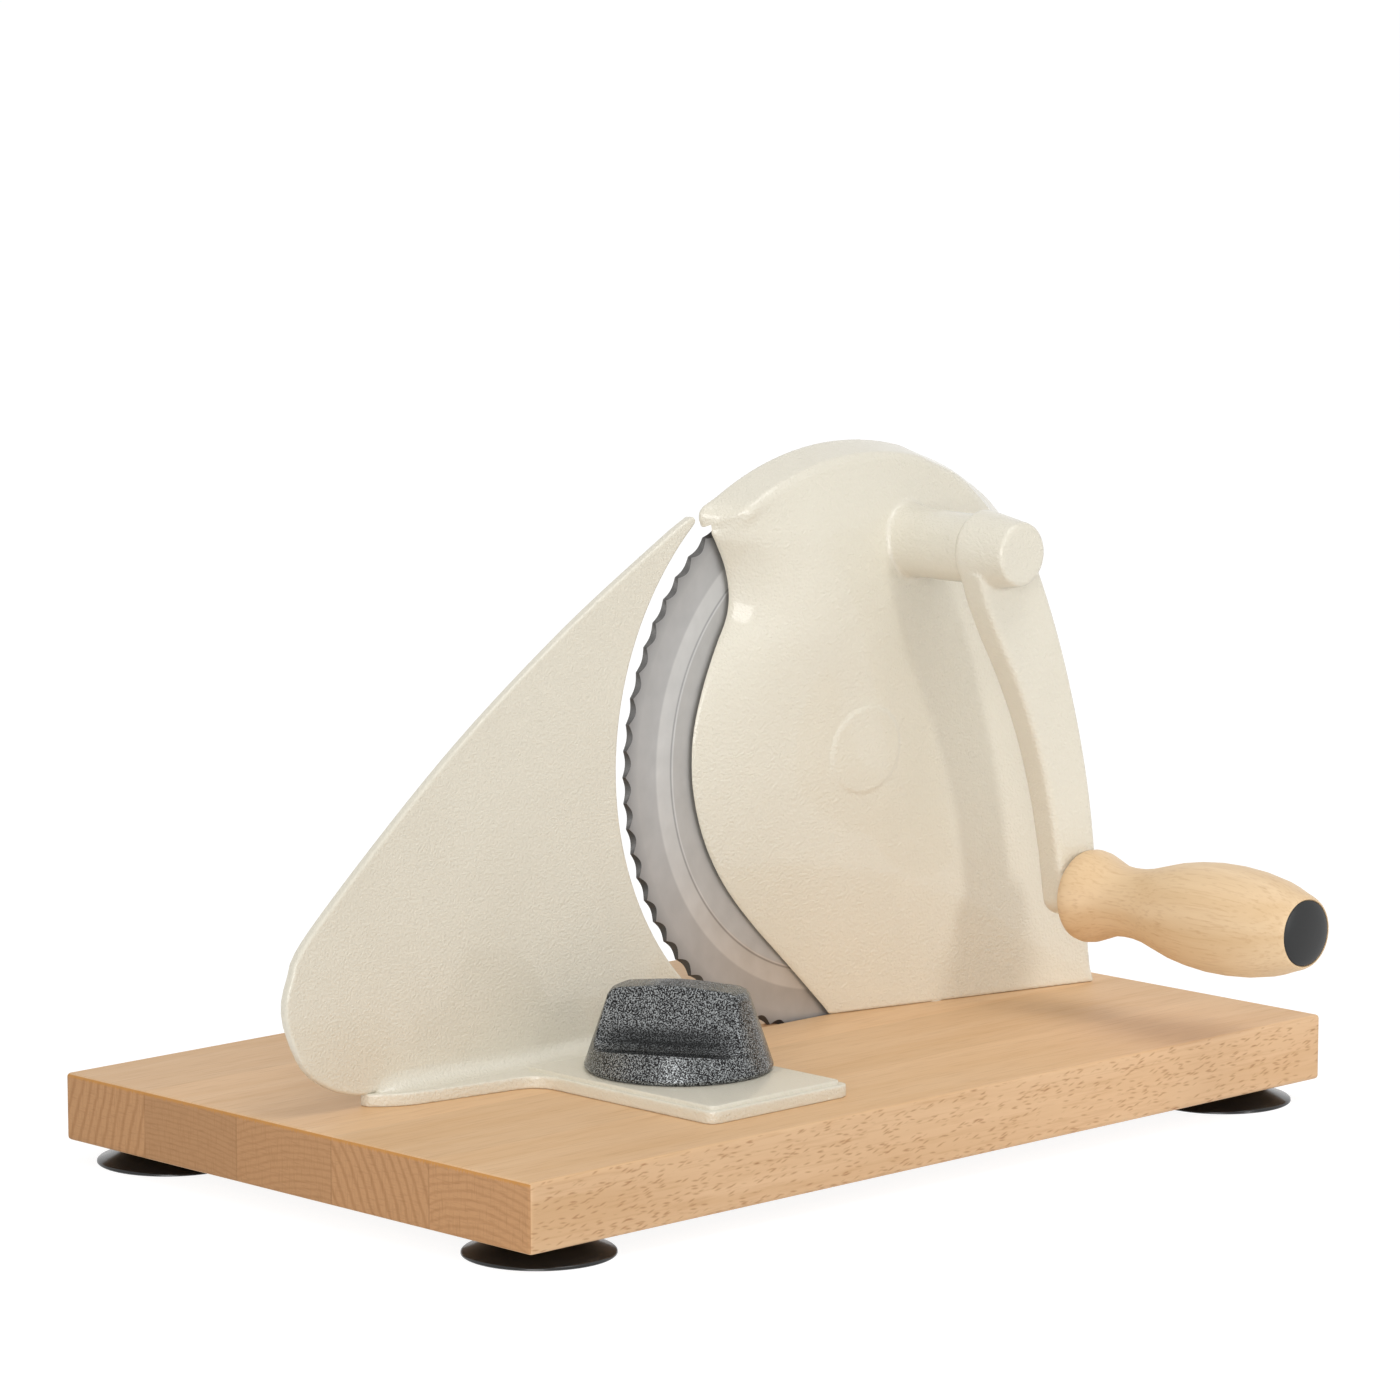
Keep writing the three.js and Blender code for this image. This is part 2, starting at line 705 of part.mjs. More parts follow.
// A spring clip: a ring with a gap, in a groove round a shaft
function clipGeometry(shaft, near, far, grooveGap) {
  const inner = shaft - clipWidth / 2 + grooveGap;
  const outer = inner + clipWidth;
  const opening = 0.35;
  const shape = new THREE.Shape();
  shape.absarc(0, 0, outer, opening, 2 * Math.PI - opening);
  shape.absarc(0, 0, inner, 2 * Math.PI - opening, opening, true);
  shape.closePath();
  return standing(shape, near, far, 6);
}
add('axle_clip', clipGeometry(axleRadius, clipNear, clipFar, seatGap).translate(bladeX, 0, bladeZ), steel);

const bushPocket = axleBushRadius + seatGap;
const axleBush = sleeveY(axleRadius + runGap, axleBushRadius, bladeHubNear, bushFar);
add('axle_bush', axleBush.translate(bladeX, 0, bladeZ), bronze);

function bladeGearGeometry() {
  const gear = standing(gearShape(bladeGearTeeth, meshAngle + Math.PI / bladeGearTeeth), gearNear, gearFar);
  const hub = rodY(bladeHubRadius, bladeHubNear, bladeNear, 28);
  const bore = rodY(bushPocket, bladeHubNear - 1, bladeNear + 1);
  return toGeometry(join(gear, hub).subtract(toSolid(bore))).translate(bladeX, 0, bladeZ);
}
add('blade_gear', bladeGearGeometry(), nylon);

// Blade: scalloped edge with a ground hollow behind each scallop, and a stepped near face
function bladeRing(y, grind) {
  const stepsPerScallop = 3;
  const count = scallopCount * stepsPerScallop;
  return Array.from({ length: count }, (_, i) => {
    const hollow = Math.sin(Math.PI * (i % stepsPerScallop) / stepsPerScallop);
    const radius = bladeRadius - hollow * (scallopDepth + grind);
    const angle = -2 * Math.PI * i / count;
    return new THREE.Vector3(radius * Math.cos(angle), y, radius * Math.sin(angle));
  });
}

function bladeGeometry() {
  const axis = (y) => new THREE.Vector3(0, y, 0);
  const rim = loft([bladeRing(bladeFar, 0), bladeRing(bladeNear, scallopGrind)], axis(bladeFar), axis(bladeNear));
  const stepRadius = bladeRadius - bladeEdgeBand;
  const innerRadius = stepRadius - bladeStepBand;
  const raised = turnedY([
    [0, bladeNear - 2 * bladeStepHeight],
    [innerRadius, bladeNear - 2 * bladeStepHeight],
    [innerRadius + 0.4, bladeNear - bladeStepHeight],
    [stepRadius - 2, bladeNear - bladeStepHeight],
    [stepRadius, bladeNear],
    [stepRadius, 0],
    [0, 0],
  ], 48);
  const seat = rodY(bladeHubRadius + sideGap, bladeNear - 1, bladeNear, 28);
  const hole = rodY(bushPocket, bladeNear - 2, bladeFar + 1);
  const solid = join(rim, raised).subtract(toSolid(seat)).subtract(toSolid(hole));
  return toGeometry(solid).translate(bladeX, 0, bladeZ);
}
add('blade', bladeGeometry(), stainless);

// Coin-slotted screw that clamps the blade to the gear's hub
function bladeScrewGeometry() {
  const thread = bushPocket - seatGap;
  const screw = turnedY([
    [0, threadEnd],
    [thread, threadEnd],
    [thread, bladeFar],
    [bladeScrewHeadRadius, bladeFar],
    [bladeScrewHeadRadius, bladeFar + bladeScrewHeadHeight * 0.4],
    [bladeScrewHeadRadius * 0.8, bladeFar + bladeScrewHeadHeight],
    [0, bladeFar + bladeScrewHeadHeight],
  ], 28);
  const slot = new THREE.BoxGeometry(2 * bladeScrewHeadRadius + 2, 2 * coinSlotDepth, coinSlotWidth);
  return cut(screw, slot.translate(0, bladeFar + bladeScrewHeadHeight, 0)).translate(bladeX, 0, bladeZ);
}
add('blade_screw', bladeScrewGeometry(), steel);

// Crank shaft with its two bushes, pinion and clip
const shaftFar = gearFar + clipThickness + 0.5;
const shaftNear = hubFront + hubCap + seatGap;
const crankClipNear = gearFar + seatGap / 2;
const crankClipFar = crankClipNear + clipThickness - seatGap / 2;

function shaftGeometry() {
  const groove = shaftRadius - clipWidth / 2;
  return turnedY([
    [0, shaftNear],
    [shaftRadius, shaftNear],
    [shaftRadius, crankClipNear - seatGap / 2],
    [groove, crankClipNear - seatGap / 2],
    [groove, crankClipFar + seatGap / 2],
    [shaftRadius, crankClipFar + seatGap / 2],
    [shaftRadius, shaftFar],
    [0, shaftFar],
  ], 20).translate(crankX, 0, crankZ);
}
add('crank_shaft', shaftGeometry(), steel);
const crankClip = clipGeometry(shaftRadius, crankClipNear, crankClipFar, seatGap);
add('crank_clip', crankClip.translate(crankX, 0, crankZ), steel);

function pinionGeometry() {
  const pinion = standing(gearShape(pinionTeeth, meshAngle + Math.PI), gearNear, gearFar);
  const hub = rodY(shaftRadius + pinionHubWall, gearNear - pinionHubLength, gearNear + 1);
  const bore = rodY(shaftRadius + seatGap, gearNear - pinionHubLength - 1, gearFar + 1);
  return toGeometry(join(pinion, hub).subtract(toSolid(bore))).translate(crankX, 0, crankZ);
}
add('crank_pinion', pinionGeometry(), steel);

const bushOuter = shaftRadius + runGap + bushWall;
const innerBush = turnedY([
  [shaftRadius + runGap, innerBossEnd - bushLength],
  [bushOuter, innerBossEnd - bushLength],
  [bushOuter, innerBossEnd],
  [bushOuter + 1.5, innerBossEnd],
  [bushOuter + 1.5, innerBossEnd + bushFlange],
  [shaftRadius + runGap, innerBossEnd + bushFlange],
  [shaftRadius + runGap, innerBossEnd - bushLength],
], 20);
add('crank_bush_inner', innerBush.translate(crankX, 0, crankZ), bronze);
const outerBush = sleeveY(shaftRadius + runGap, bushOuter, -bossEnd, -bossEnd + bushLength);
add('crank_bush_outer', outerBush.translate(crankX, 0, crankZ), bronze);

// Crank arm: a tapered hub and a sickle-shaped arm in one casting, fixed to the shaft by a grub screw
function armShape() {
  const start = new THREE.Vector2(crankX, crankZ);
  const end = new THREE.Vector2(handleX, handleZ);
  const along = end.clone().sub(start).normalize();
  const side = new THREE.Vector2(-along.y, along.x);
  const bend = start.clone().lerp(end, 0.5).addScaledVector(side, 2 * armBow);
  const spine = new THREE.QuadraticBezierCurve(start, bend, end);
  const edge = (widths, sign) => {
    const halves = spline(...widths.map((width, i) => [i / (widths.length - 1), width]));
    return halves.getPoints(10).map(({ x: t, y: half }) => {
      const way = spine.getTangent(t);
      const across = new THREE.Vector2(-way.y, way.x);
      return spine.getPoint(t).addScaledVector(across, sign * (half - armRound));
    });
  };
  const way = spine.getTangent(1);
  const last = Math.atan2(way.y, way.x);
  const [endLeft, endRight] = [armLeftWidths.at(-1), armRightWidths.at(-1)];
  const tip = end.clone().addScaledVector(new THREE.Vector2(-way.y, way.x), (endRight - endLeft) / 2);
  const shape = new THREE.Shape();
  shape.setFromPoints(edge(armLeftWidths, -1));
  const half = (endLeft + endRight) / 2 - armRound;
  shape.absellipse(tip.x, tip.y, armEndReach - armRound, half, -Math.PI / 2, Math.PI / 2, false, last);
  edge(armRightWidths, 1).toReversed().forEach((point) => shape.lineTo(point.x, point.y));
  shape.closePath();
  return shape;
}

function armGeometry() {
  const arm = new THREE.ExtrudeGeometry(armShape(), {
    depth: armThickness - 2 * armRound,
    bevelThickness: armRound,
    bevelSize: armRound,
    bevelSegments: 2,
    curveSegments: 6,
  }).rotateX(Math.PI / 2).translate(0, hubBack - armRound, 0);
  const hub = turnedY([
    [0, hubFront],
    [hubRadius - hubTaper - 1, hubFront],
    [hubRadius - hubTaper, hubFront + 1],
    [hubRadius, hubBack - 1],
    [hubRadius - 0.6, hubBack],
    [0, hubBack],
  ], 24).translate(crankX, 0, crankZ);
  const shaftHole = rodY(shaftRadius + seatGap, shaftNear - seatGap, hubBack + 1);
  const boltHole = rodY(boltRadius + seatGap, armFront - 1, armFront + boltBite + seatGap, 24);
  const grubHole = rodZ(grubRadius + seatGap, 0, hubRadius + 1, 20).rotateY(Math.PI / 2);
  const solid = join(arm, hub)
    .subtract(toSolid(shaftHole.translate(crankX, 0, crankZ)))
    .subtract(toSolid(boltHole.translate(handleX, 0, handleZ)))
    .subtract(toSolid(grubHole.translate(crankX, hubBack - hubLength / 2, crankZ)));
  return toGeometry(solid);
}
add('crank_arm', armGeometry(), enamel);

const grub = rodZ(grubRadius, shaftRadius + seatGap, hubRadius - hubTaper, 16).rotateY(Math.PI / 2);
add('crank_grub_screw', grub.translate(crankX, hubBack - hubLength / 2, crankZ), steel);

// Handle: a turned grip that spins on a shoulder bolt, its end closed by a cap
const gripBore = boltRadius + runGap;
const pocketRadius = boltHeadRadius + 2;
const pocketFloor = gripFront + capPocket;
const boltHeadBack = pocketFloor - sideGap;
const capBack = gripFront + 1;

function boltGeometry() {
  return turnedY([
    [0, boltHeadBack - boltHeadHeight],
    [boltHeadRadius, boltHeadBack - boltHeadHeight],
    [boltHeadRadius, boltHeadBack],
    [boltRadius, boltHeadBack],
    [boltRadius, armFront + boltBite],
    [0, armFront + boltBite],
  ], 20).translate(handleX, 0, handleZ);
}
add('handle_bolt', boltGeometry(), steel);
const washer = sleeveY(gripBore, gripWaistRadius, gripBack + seatGap, armFront);
add('handle_washer', washer.translate(handleX, 0, handleZ), steel);

function gripGeometry() {
  const outline = spline(
    [gripCollarRadius - 1.6, 0],
    [gripCollarRadius, 3.4],
    [gripCollarRadius - 2, 10],
    [gripWaistRadius + 0.4, 15],
    [gripWaistRadius + 0.1, 24],
    [gripBellyRadius - 3.9, 36],
    [gripBellyRadius - 0.8, 50],
    [gripBellyRadius, 62],
    [gripBellyRadius - 0.7, 75],
    [gripBellyRadius - 2.3, 84],
    [gripEndRadius, gripLength],
  ).getPoints(14);
  const profile = [
    [gripBore, pocketFloor],
    [pocketRadius, pocketFloor],
    [pocketRadius, capBack + seatGap],
    [capRadius + seatGap, capBack + seatGap],
    [capRadius + seatGap, gripFront],
    ...outline.toReversed().map((p) => [p.x, gripBack - p.y]),
    [gripBore, gripBack],
    [gripBore, pocketFloor],
  ];
  return turnedY(profile, 24).translate(handleX, 0, handleZ);
}
add('handle_grip', gripGeometry(), beech);

function capGeometry() {
  return turnedY([
    [0, gripFront - capDome],
    [capRadius * 0.6, gripFront - capDome * 0.7],
    [capRadius, gripFront],
    [capRadius, capBack],
    [pocketRadius - seatGap, capBack],
    [pocketRadius - seatGap, capBack + capPlug],
    [pocketRadius - 1.5, capBack + capPlug],
    [pocketRadius - 1.5, capBack],
    [0, capBack],
  ], 20).translate(handleX, 0, handleZ);
}
add('handle_end_cap', capGeometry(), blackPlastic);

// Gauge fence: a shark-fin plate on a stepped foot, with a guide key under it, cast in one piece
function finShape() {
  const centreZ = bladeZ + fenceArcRise;
  const arcX = (z) => bladeX - Math.sqrt(fenceArcRadius ** 2 - (z - centreZ) ** 2);
  const angleAt = (z) => Math.PI - Math.asin((z - centreZ) / fenceArcRadius);
  const tipZ = fenceTipZ;
  const shape = new THREE.Shape();
  shape.moveTo(arcX(0), 0);
  shape.absarc(bladeX, centreZ, fenceArcRadius, angleAt(0), angleAt(tipZ), true);
  const tipX = arcX(tipZ);
  shape.quadraticCurveTo(tipX + fenceTipRound, tipZ + fenceTipRound, tipX - 1, tipZ + fenceTipRound);
  shape.splineThru([
    new THREE.Vector2(tipX - 13.5, tipZ - 3.5),
    new THREE.Vector2(tipX - 58.5, tipZ - 30),
    new THREE.Vector2(tipX - 109, tipZ - 65.5),
    new THREE.Vector2(fenceLeft + 12, fenceLeftHeight + 23),
    new THREE.Vector2(fenceLeft + 2, fenceLeftHeight + 8),
    new THREE.Vector2(fenceLeft, fenceLeftHeight - 4),
    new THREE.Vector2(fenceLeft + 7, fenceLeftHeight - 20),
    new THREE.Vector2(fenceLeft + 17, fenceLeftHeight - 28),
    new THREE.Vector2(lipLeft - 3, fenceBottom),
  ]);
  shape.lineTo(lipLeft + 4, fenceBottom);
  shape.lineTo(lipLeft + 4, 0);
  shape.closePath();
  return shape;
}

function footShape() {
  const shape = new THREE.Shape();
  const neckLeft = -lipNearRight - footCorner;
  shape.moveTo(lipLeft, 0);
  shape.lineTo(lipLeft, -lipNearLeft + footCorner);
  shape.quadraticCurveTo(lipLeft, -lipNearLeft, lipLeft + footCorner, -lipNearLeft - 0.5);
  shape.lineTo(footLeft - 2 * footCorner, -lipNearRight + 0.5);
  shape.quadraticCurveTo(footLeft, -lipNearRight, footLeft, neckLeft - footCorner);
  shape.lineTo(footLeft, -footNear + footCorner);
  shape.absarc(footLeft + footCorner, -footNear + footCorner, footCorner, Math.PI, 1.5 * Math.PI);
  shape.lineTo(footRight - footCorner, -footNear);
  shape.absarc(footRight - footCorner, -footNear + footCorner, footCorner, 1.5 * Math.PI, 2 * Math.PI);
  shape.lineTo(footRight, neckLeft - footCorner);
  shape.quadraticCurveTo(footRight, -lipNearRight + 2, footRight + footCorner, -lipNearRight + 3);
  shape.lineTo(lipRight, -lipNearLeft);
  shape.lineTo(lipRight, 0);
  shape.closePath();
  return shape;
}

function fenceGeometry() {
  const fin = standing(finShape(), -fenceThickness, 0, 5);
  const foot = lying(footShape(), 0, fenceBottom, 3);
  const tier = roundedRectangle(
    footLeft + footTierInset,
    -footNear + footTierInset,
    footRight - footTierInset,
    -lipNearRight,
    footCorner - 1,
  );
  const fillet = new THREE.Shape();
  fillet.moveTo(-fenceThickness + 1, fenceBottom - 1);
  fillet.lineTo(-fenceThickness + 1, fenceBottom + filletRadius);
  fillet.lineTo(-fenceThickness, fenceBottom + filletRadius);
  fillet.quadraticCurveTo(-fenceThickness, fenceBottom, -fenceThickness - filletRadius, fenceBottom);
  fillet.lineTo(-fenceThickness - filletRadius, fenceBottom - 1);
  fillet.closePath();
  const filletBar = new THREE.ExtrudeGeometry(fillet, {
    depth: lipRight - lipLeft - 2 * footCorner,
    bevelEnabled: false,
    curveSegments: 6,
  }).rotateX(Math.PI / 2).rotateZ(Math.PI / 2).translate(lipLeft + footCorner, 0, 0);
  const key = slotShape(knobX, knobY - keyLength / 2, knobY + keyLength / 2, keyWidth);
  const boltHole = rodZ(clampBoltRadius + seatGap, -keyDepth - 1, footTop + 1, 24);
  const solid = join(fin, foot, lying(tier, fenceBottom - 1, footTop, 2), filletBar, lying(key, -keyDepth, 1, 2))
    .subtract(toSolid(boltHole.translate(knobX, knobY, 0)));
  return toGeometry(solid);
}
add('gauge_fence', fenceGeometry(), enamel);

// Clamp of the fence: knob with a threaded insert above, bolt and slide plate below the board
const insertRadius = clampBoltRadius + seatGap + insertWall;
const insertTop = footTop + insertLength;
const grooveFloor = boardUnder + clampRecess;
const slideLow = grooveFloor - slideThickness;

function knobGeometry() {
  const cone = turnedZ([
    [0, footTop],
    [knobRadius - 1, footTop],
    [knobRadius, footTop + 1.2],
    [knobTopRadius + 0.8, footTop + knobHeight - 3],
    [knobTopRadius - 1.5, footTop + knobHeight - 0.8],
    [knobTopRadius - 5, footTop + knobHeight],
    [0, footTop + knobHeight + knobCrown],
  ], 40);
  const low = footTop + knobBase;
  const high = footTop + knobHeight + knobCrown + 1;
  const scoop = new THREE.Shape();
  scoop.moveTo(knobBarTop / 2, high);
  scoop.lineTo(knobBarFoot / 2, low + knobScoop);
  scoop.quadraticCurveTo(knobBarFoot / 2 + 0.5, low, knobBarFoot / 2 + knobScoop, low);
  scoop.lineTo(knobRadius + 2, low);
  scoop.lineTo(knobRadius + 2, high);
  scoop.closePath();
  const side = standing(scoop, -knobRadius - 2, knobRadius + 2, 4);
  const pocket = rodZ(insertRadius + seatGap, footTop - 1, insertTop + seatGap);
  const knob = cut(cone, side, side.clone().rotateZ(Math.PI), pocket);
  return knob.rotateZ(knobTurn + Math.PI / 2).translate(knobX, knobY, 0);
}
add('clamp_knob', knobGeometry(), hammertone);

const boltTop = insertTop - 2;
const insert = turnedZ([
  [0, boltTop + seatGap],
  [clampBoltRadius + seatGap, boltTop + seatGap],
  [clampBoltRadius + seatGap, footTop],
  [insertRadius, footTop],
  [insertRadius, insertTop],
  [0, insertTop],
], 20);
add('knob_insert', insert.translate(knobX, knobY, 0), bronze);

const clampBolt = turnedZ([
  [0, slideLow - clampHeadHeight],
  [clampHeadRadius * 0.7, slideLow - clampHeadHeight],
  [clampHeadRadius, slideLow - clampHeadHeight * 0.4],
  [clampHeadRadius, slideLow],
  [clampBoltRadius, slideLow],
  [clampBoltRadius, boltTop],
  [0, boltTop],
], 20);
add('clamp_bolt', clampBolt.translate(knobX, knobY, 0), steel);

const slide = slotShape(knobX, knobY - slideLength / 2, knobY + slideLength / 2, slideWidth);
const slideHole = rodZ(clampBoltRadius + seatGap, slideLow - 1, grooveFloor + 1).translate(knobX, knobY, 0);
add('clamp_slide', cut(lying(slide, slideLow, grooveFloor, 2), slideHole), steel);

// The part's origin: under the middle of its overall length and width, on the surface it stands on
const nearEnd = gripFront - capDome;
const farEnd = boardWidth - boardNearSide + Math.max(0, cupRadius - cupInsetY);
slicer.position.set(0, -(nearEnd + farEnd) / 2, boardThickness + cupHeight);

export default slicer;
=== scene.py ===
import math

import bmesh
import bpy
from mathutils import Matrix, Vector


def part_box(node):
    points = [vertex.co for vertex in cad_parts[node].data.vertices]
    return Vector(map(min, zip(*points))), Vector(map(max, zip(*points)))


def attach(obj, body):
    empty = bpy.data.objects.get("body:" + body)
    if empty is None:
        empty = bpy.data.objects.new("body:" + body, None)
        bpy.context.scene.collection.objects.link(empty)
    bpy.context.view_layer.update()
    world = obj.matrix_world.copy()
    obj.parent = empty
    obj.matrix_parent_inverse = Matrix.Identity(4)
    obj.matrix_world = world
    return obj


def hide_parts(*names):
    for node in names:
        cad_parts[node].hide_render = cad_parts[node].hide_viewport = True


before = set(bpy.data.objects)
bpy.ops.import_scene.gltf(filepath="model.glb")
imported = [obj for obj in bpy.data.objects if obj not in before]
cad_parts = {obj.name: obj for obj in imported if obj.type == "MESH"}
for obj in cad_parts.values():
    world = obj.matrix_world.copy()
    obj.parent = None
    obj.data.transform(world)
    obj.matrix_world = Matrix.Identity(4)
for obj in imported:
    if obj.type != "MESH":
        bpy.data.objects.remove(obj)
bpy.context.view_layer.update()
mm = 0.001

# Board
# Five beech staves glued edge to edge, planed, oiled and lightly rounded on every arris. It carries all the
# rest: the blade dips into one slot, the fence's clamp runs in another, and screws come up from below.
board_low, board_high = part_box("base_board")
board_top = board_high.z
blade_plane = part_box("gauge_fence")[1].y
near = Vector((0, -1, 0))
up = Vector((0, 0, 1))
stave_width = 45 * mm
staves = 5
blade_axis = Vector((65, 90.8))
clamp_axis = Vector((-50.6, -46.2))
fence_travel = 18
housing_screw_spots = ((105, -7.5), (130, -11), (155, -12))
cup_corners = ("near_left", "near_right", "far_left", "far_right")


def shade(mesh, sharp):
    """Shades a mesh smooth, with its edges kept above an angle in degrees."""
    mesh.shade_smooth()
    mesh.set_sharp_from_angle(angle=math.radians(sharp))


def piece_of(bm, name, sharp=35):
    """A smooth-shaded object made of a bmesh, with its edges kept above an angle in degrees."""
    mesh = bpy.data.meshes.new(name)
    bm.to_mesh(mesh)
    bm.free()
    shade(mesh, sharp)
    piece = bpy.data.objects.new(name, mesh)
    bpy.context.scene.collection.objects.link(piece)
    return piece


def linear(code):
    """An sRGB hex colour as linear red, green, blue and alpha."""
    parts = [int(code[i:i + 2], 16) / 255 for i in (1, 3, 5)]
    return [p / 12.92 if p <= 0.04045 else ((p + 0.055) / 1.055) ** 2.4 for p in parts] + [1.0]


def add(material, kind, sockets, **settings):
    """A new node with its settings, and its sockets linked or set."""
    node = material.node_tree.nodes.new(kind)
    for key, value in settings.items():
        setattr(node, key, value)
    for key, value in sockets.items():
        if isinstance(value, bpy.types.NodeSocket):
            material.node_tree.links.new(value, node.inputs[key])
        else:
            node.inputs[key].default_value = value
    return node


def mix(material, share, *colours):
    """A blend by a share of two colours, each given as a hex code or an output."""
    one, other = (linear(c) if isinstance(c, str) else c for c in colours)
    return add(material, "ShaderNodeMix", {0: share, 6: one, 7: other}, data_type="RGBA").outputs[2]


def ranged(material, value, source=(0, 1), target=(0, 1)):
    """A value moved from one range to another, and held within it."""
    return add(material, "ShaderNodeMapRange", {
        "Value": value, "From Min": source[0], "From Max": source[1],
        "To Min": target[0], "To Max": target[1]}).outputs[0]


def reckon(material, operation, *values):
    """The result of a sum with outputs and numbers."""
    return add(material, "ShaderNodeMath", dict(enumerate(values)), operation=operation).outputs[0]


def noise(material, place, size, detail, distortion=0):
    """Noise with a grain of a size in millimetres along x, y and z."""
    spread = add(material, "ShaderNodeMapping", {"Vector": place, "Scale": [1 / (s * mm) for s in size]})
    return add(material, "ShaderNodeTexNoise", {
        "Vector": spread.outputs[0], "Scale": 1.0, "Detail": detail, "Distortion": distortion}).outputs[0]


def dented(material, height, strength, depth):
    """A bump that follows a height, with its depth in millimetres."""
    return add(material, "ShaderNodeBump", {
        "Height": height, "Strength": strength, "Distance": depth * mm}).outputs[0]


def new_finish(name):
    """A node material, its shader and its object coordinates."""
    material = bpy.data.materials.new(name)
    material.use_nodes = True
    shader = material.node_tree.nodes["Principled BSDF"]
    place = add(material, "ShaderNodeTexCoord", {}).outputs["Object"]
    return material, shader, place


def wear(material, shader, **links):
    """Links outputs to the shader's sockets, named with an underscore for a space."""
    for key, value in links.items():
        material.node_tree.links.new(value, shader.inputs[key.replace("_", " ")])


# Planed beech, long grain: pale pinkish tan with fine short pores along the stave and a slow change of tone.
def beech_along(name, pale, dark, along):
    material, shader, place = new_finish(name)
    pore_size, band_size = [0.8] * 3, [11] * 3
    pore_size[along], band_size[along] = 14, 150
    pores = noise(material, place, pore_size, 3.0)
    bands = noise(material, place, band_size, 4.0, 0.6)
    tone = mix(material, ranged(material, bands, (0.32, 0.68)), pale, dark)
    pore_share = ranged(material, pores, (0.5, 0.8), (0, 0.4))
    grained = mix(material, pore_share, tone, "#B98A5C")
    shader.inputs["Roughness"].default_value = 0.52
    shader.inputs["Specular IOR Level"].default_value = 0.35
    wear(material, shader, Base_Color=grained, Normal=dented(material, pores, 0.25, 0.08))
    return material, shader, place, grained


def stave_row(material, place):
    """The parts of a place, its distance from the board's near edge in staves, and its stave's number."""
    parts = add(material, "ShaderNodeSeparateXYZ", {"Vector": place})
    from_edge = reckon(material, "ADD", parts.outputs["Y"], -board_low.y)
    in_staves = reckon(material, "DIVIDE", from_edge, stave_width)
    return parts, in_staves, reckon(material, "FLOOR", in_staves)


beech_face, face_shader, face_place, face_colour = beech_along(
    "planed beech face", "#E5C097", "#DDB486", 0)
face_stave = stave_row(beech_face, face_place)[2]
stave_chance = add(beech_face, "ShaderNodeTexWhiteNoise", {"W": face_stave}, noise_dimensions="1D")
stave_value = ranged(beech_face, stave_chance.outputs[0], target=(0.95, 1.04))
stave_tone = add(beech_face, "ShaderNodeHueSaturation", {"Value": stave_value, "Color": face_colour})
wear(beech_face, face_shader, Base_Color=stave_tone.outputs[0])


def ray_flecks(material, place, under, size, left_out, core, depth, tone):
    """A colour with ray flecks of a size in millimetres over it, of which a share is left out."""
    spread = add(material, "ShaderNodeMapping", {"Vector": place, "Scale": [1 / (s * mm) for s in size]})
    cells = add(material, "ShaderNodeTexVoronoi", {"Vector": spread.outputs[0], "Scale": 1.0})
    chance = add(material, "ShaderNodeSeparateColor", {"Color": cells.outputs["Color"]})
    inside = ranged(material, cells.outputs["Distance"], core, (depth, 0))
    kept = reckon(material, "GREATER_THAN", chance.outputs[0], left_out)
    return mix(material, reckon(material, "MULTIPLY", inside, kept), under, tone)


# Quarter-sawn long side: the rays show as short brown dashes, two to five millimetres long.
beech_side, side_shader, side_place, side_colour = beech_along(
    "quarter-sawn beech side", "#E3BF98", "#D6AF85", 0)
dashed = side_colour
for turn, seed in ((0.12, 0.0), (0.3, 3.7), (-0.08, 7.9)):
    lean = add(beech_side, "ShaderNodeMapping", {
        "Vector": side_place, "Rotation": (0, turn, 0), "Location": (seed, 0, seed)})
    dashed = ray_flecks(
        beech_side, lean.outputs[0], dashed, (5.5, 40, 1.1), 0.52, (0.12, 0.36), 0.5, "#A06A3E")
wear(beech_side, side_shader, Base_Color=dashed)

# Sawn end grain: darker, with faint growth rings that curve another way in each stave, a glue line between
# the staves, fine saw marks, and a fuzzy paler line along the top arris. A colour ramp holds the log that
# each stave was cut from: how far off its pith lies, the gap between its rings and how pale it is.
beech_end, end_shader, end_place = new_finish("sawn beech end grain")
end_row, end_share, end_index = stave_row(beech_end, end_place)
pith_span = 400
widest_gap = 8
end_fract = reckon(beech_end, "FRACT", end_share)
in_stave = reckon(beech_end, "MULTIPLY_ADD", end_fract, stave_width, -stave_width / 2)
stave_spot = add(beech_end, "ShaderNodeCombineXYZ", {"X": in_stave, "Y": end_row.outputs["Z"]})
stave_middle = reckon(beech_end, "MULTIPLY_ADD", end_index, 1 / staves, 0.5 / staves)
log = add(beech_end, "ShaderNodeValToRGB", {"Fac": stave_middle})
log.color_ramp.interpolation = "CONSTANT"
for i, (pith_across, pith_up, gap, paleness) in enumerate((
    (0, -63, 2.6, 0.64), (135, -67, 3.8, 0.6), (-20, -110, 2.2, 0.46), (10, -160, 1.8, 0.3),
    (133, 42, 3.8, 0.55))):
    sawn_from = log.color_ramp.elements[i] if i < 2 else log.color_ramp.elements.new(i / staves)
    sawn_from.position = i / staves
    sawn_from.color = (0.5 + pith_across / pith_span, 0.5 + pith_up / pith_span, gap / widest_gap, paleness)
pith = add(beech_end, "ShaderNodeVectorMath", {
    0: log.outputs["Color"], 1: (pith_span * mm, pith_span * mm, 0),
    2: (-pith_span / 2 * mm, -pith_span / 2 * mm + (board_low.z + board_high.z) / 2, 0)},
    operation="MULTIPLY_ADD")
from_pith = add(beech_end, "ShaderNodeVectorMath", {
    0: stave_spot.outputs[0], 1: pith.outputs[0]}, operation="SUBTRACT")
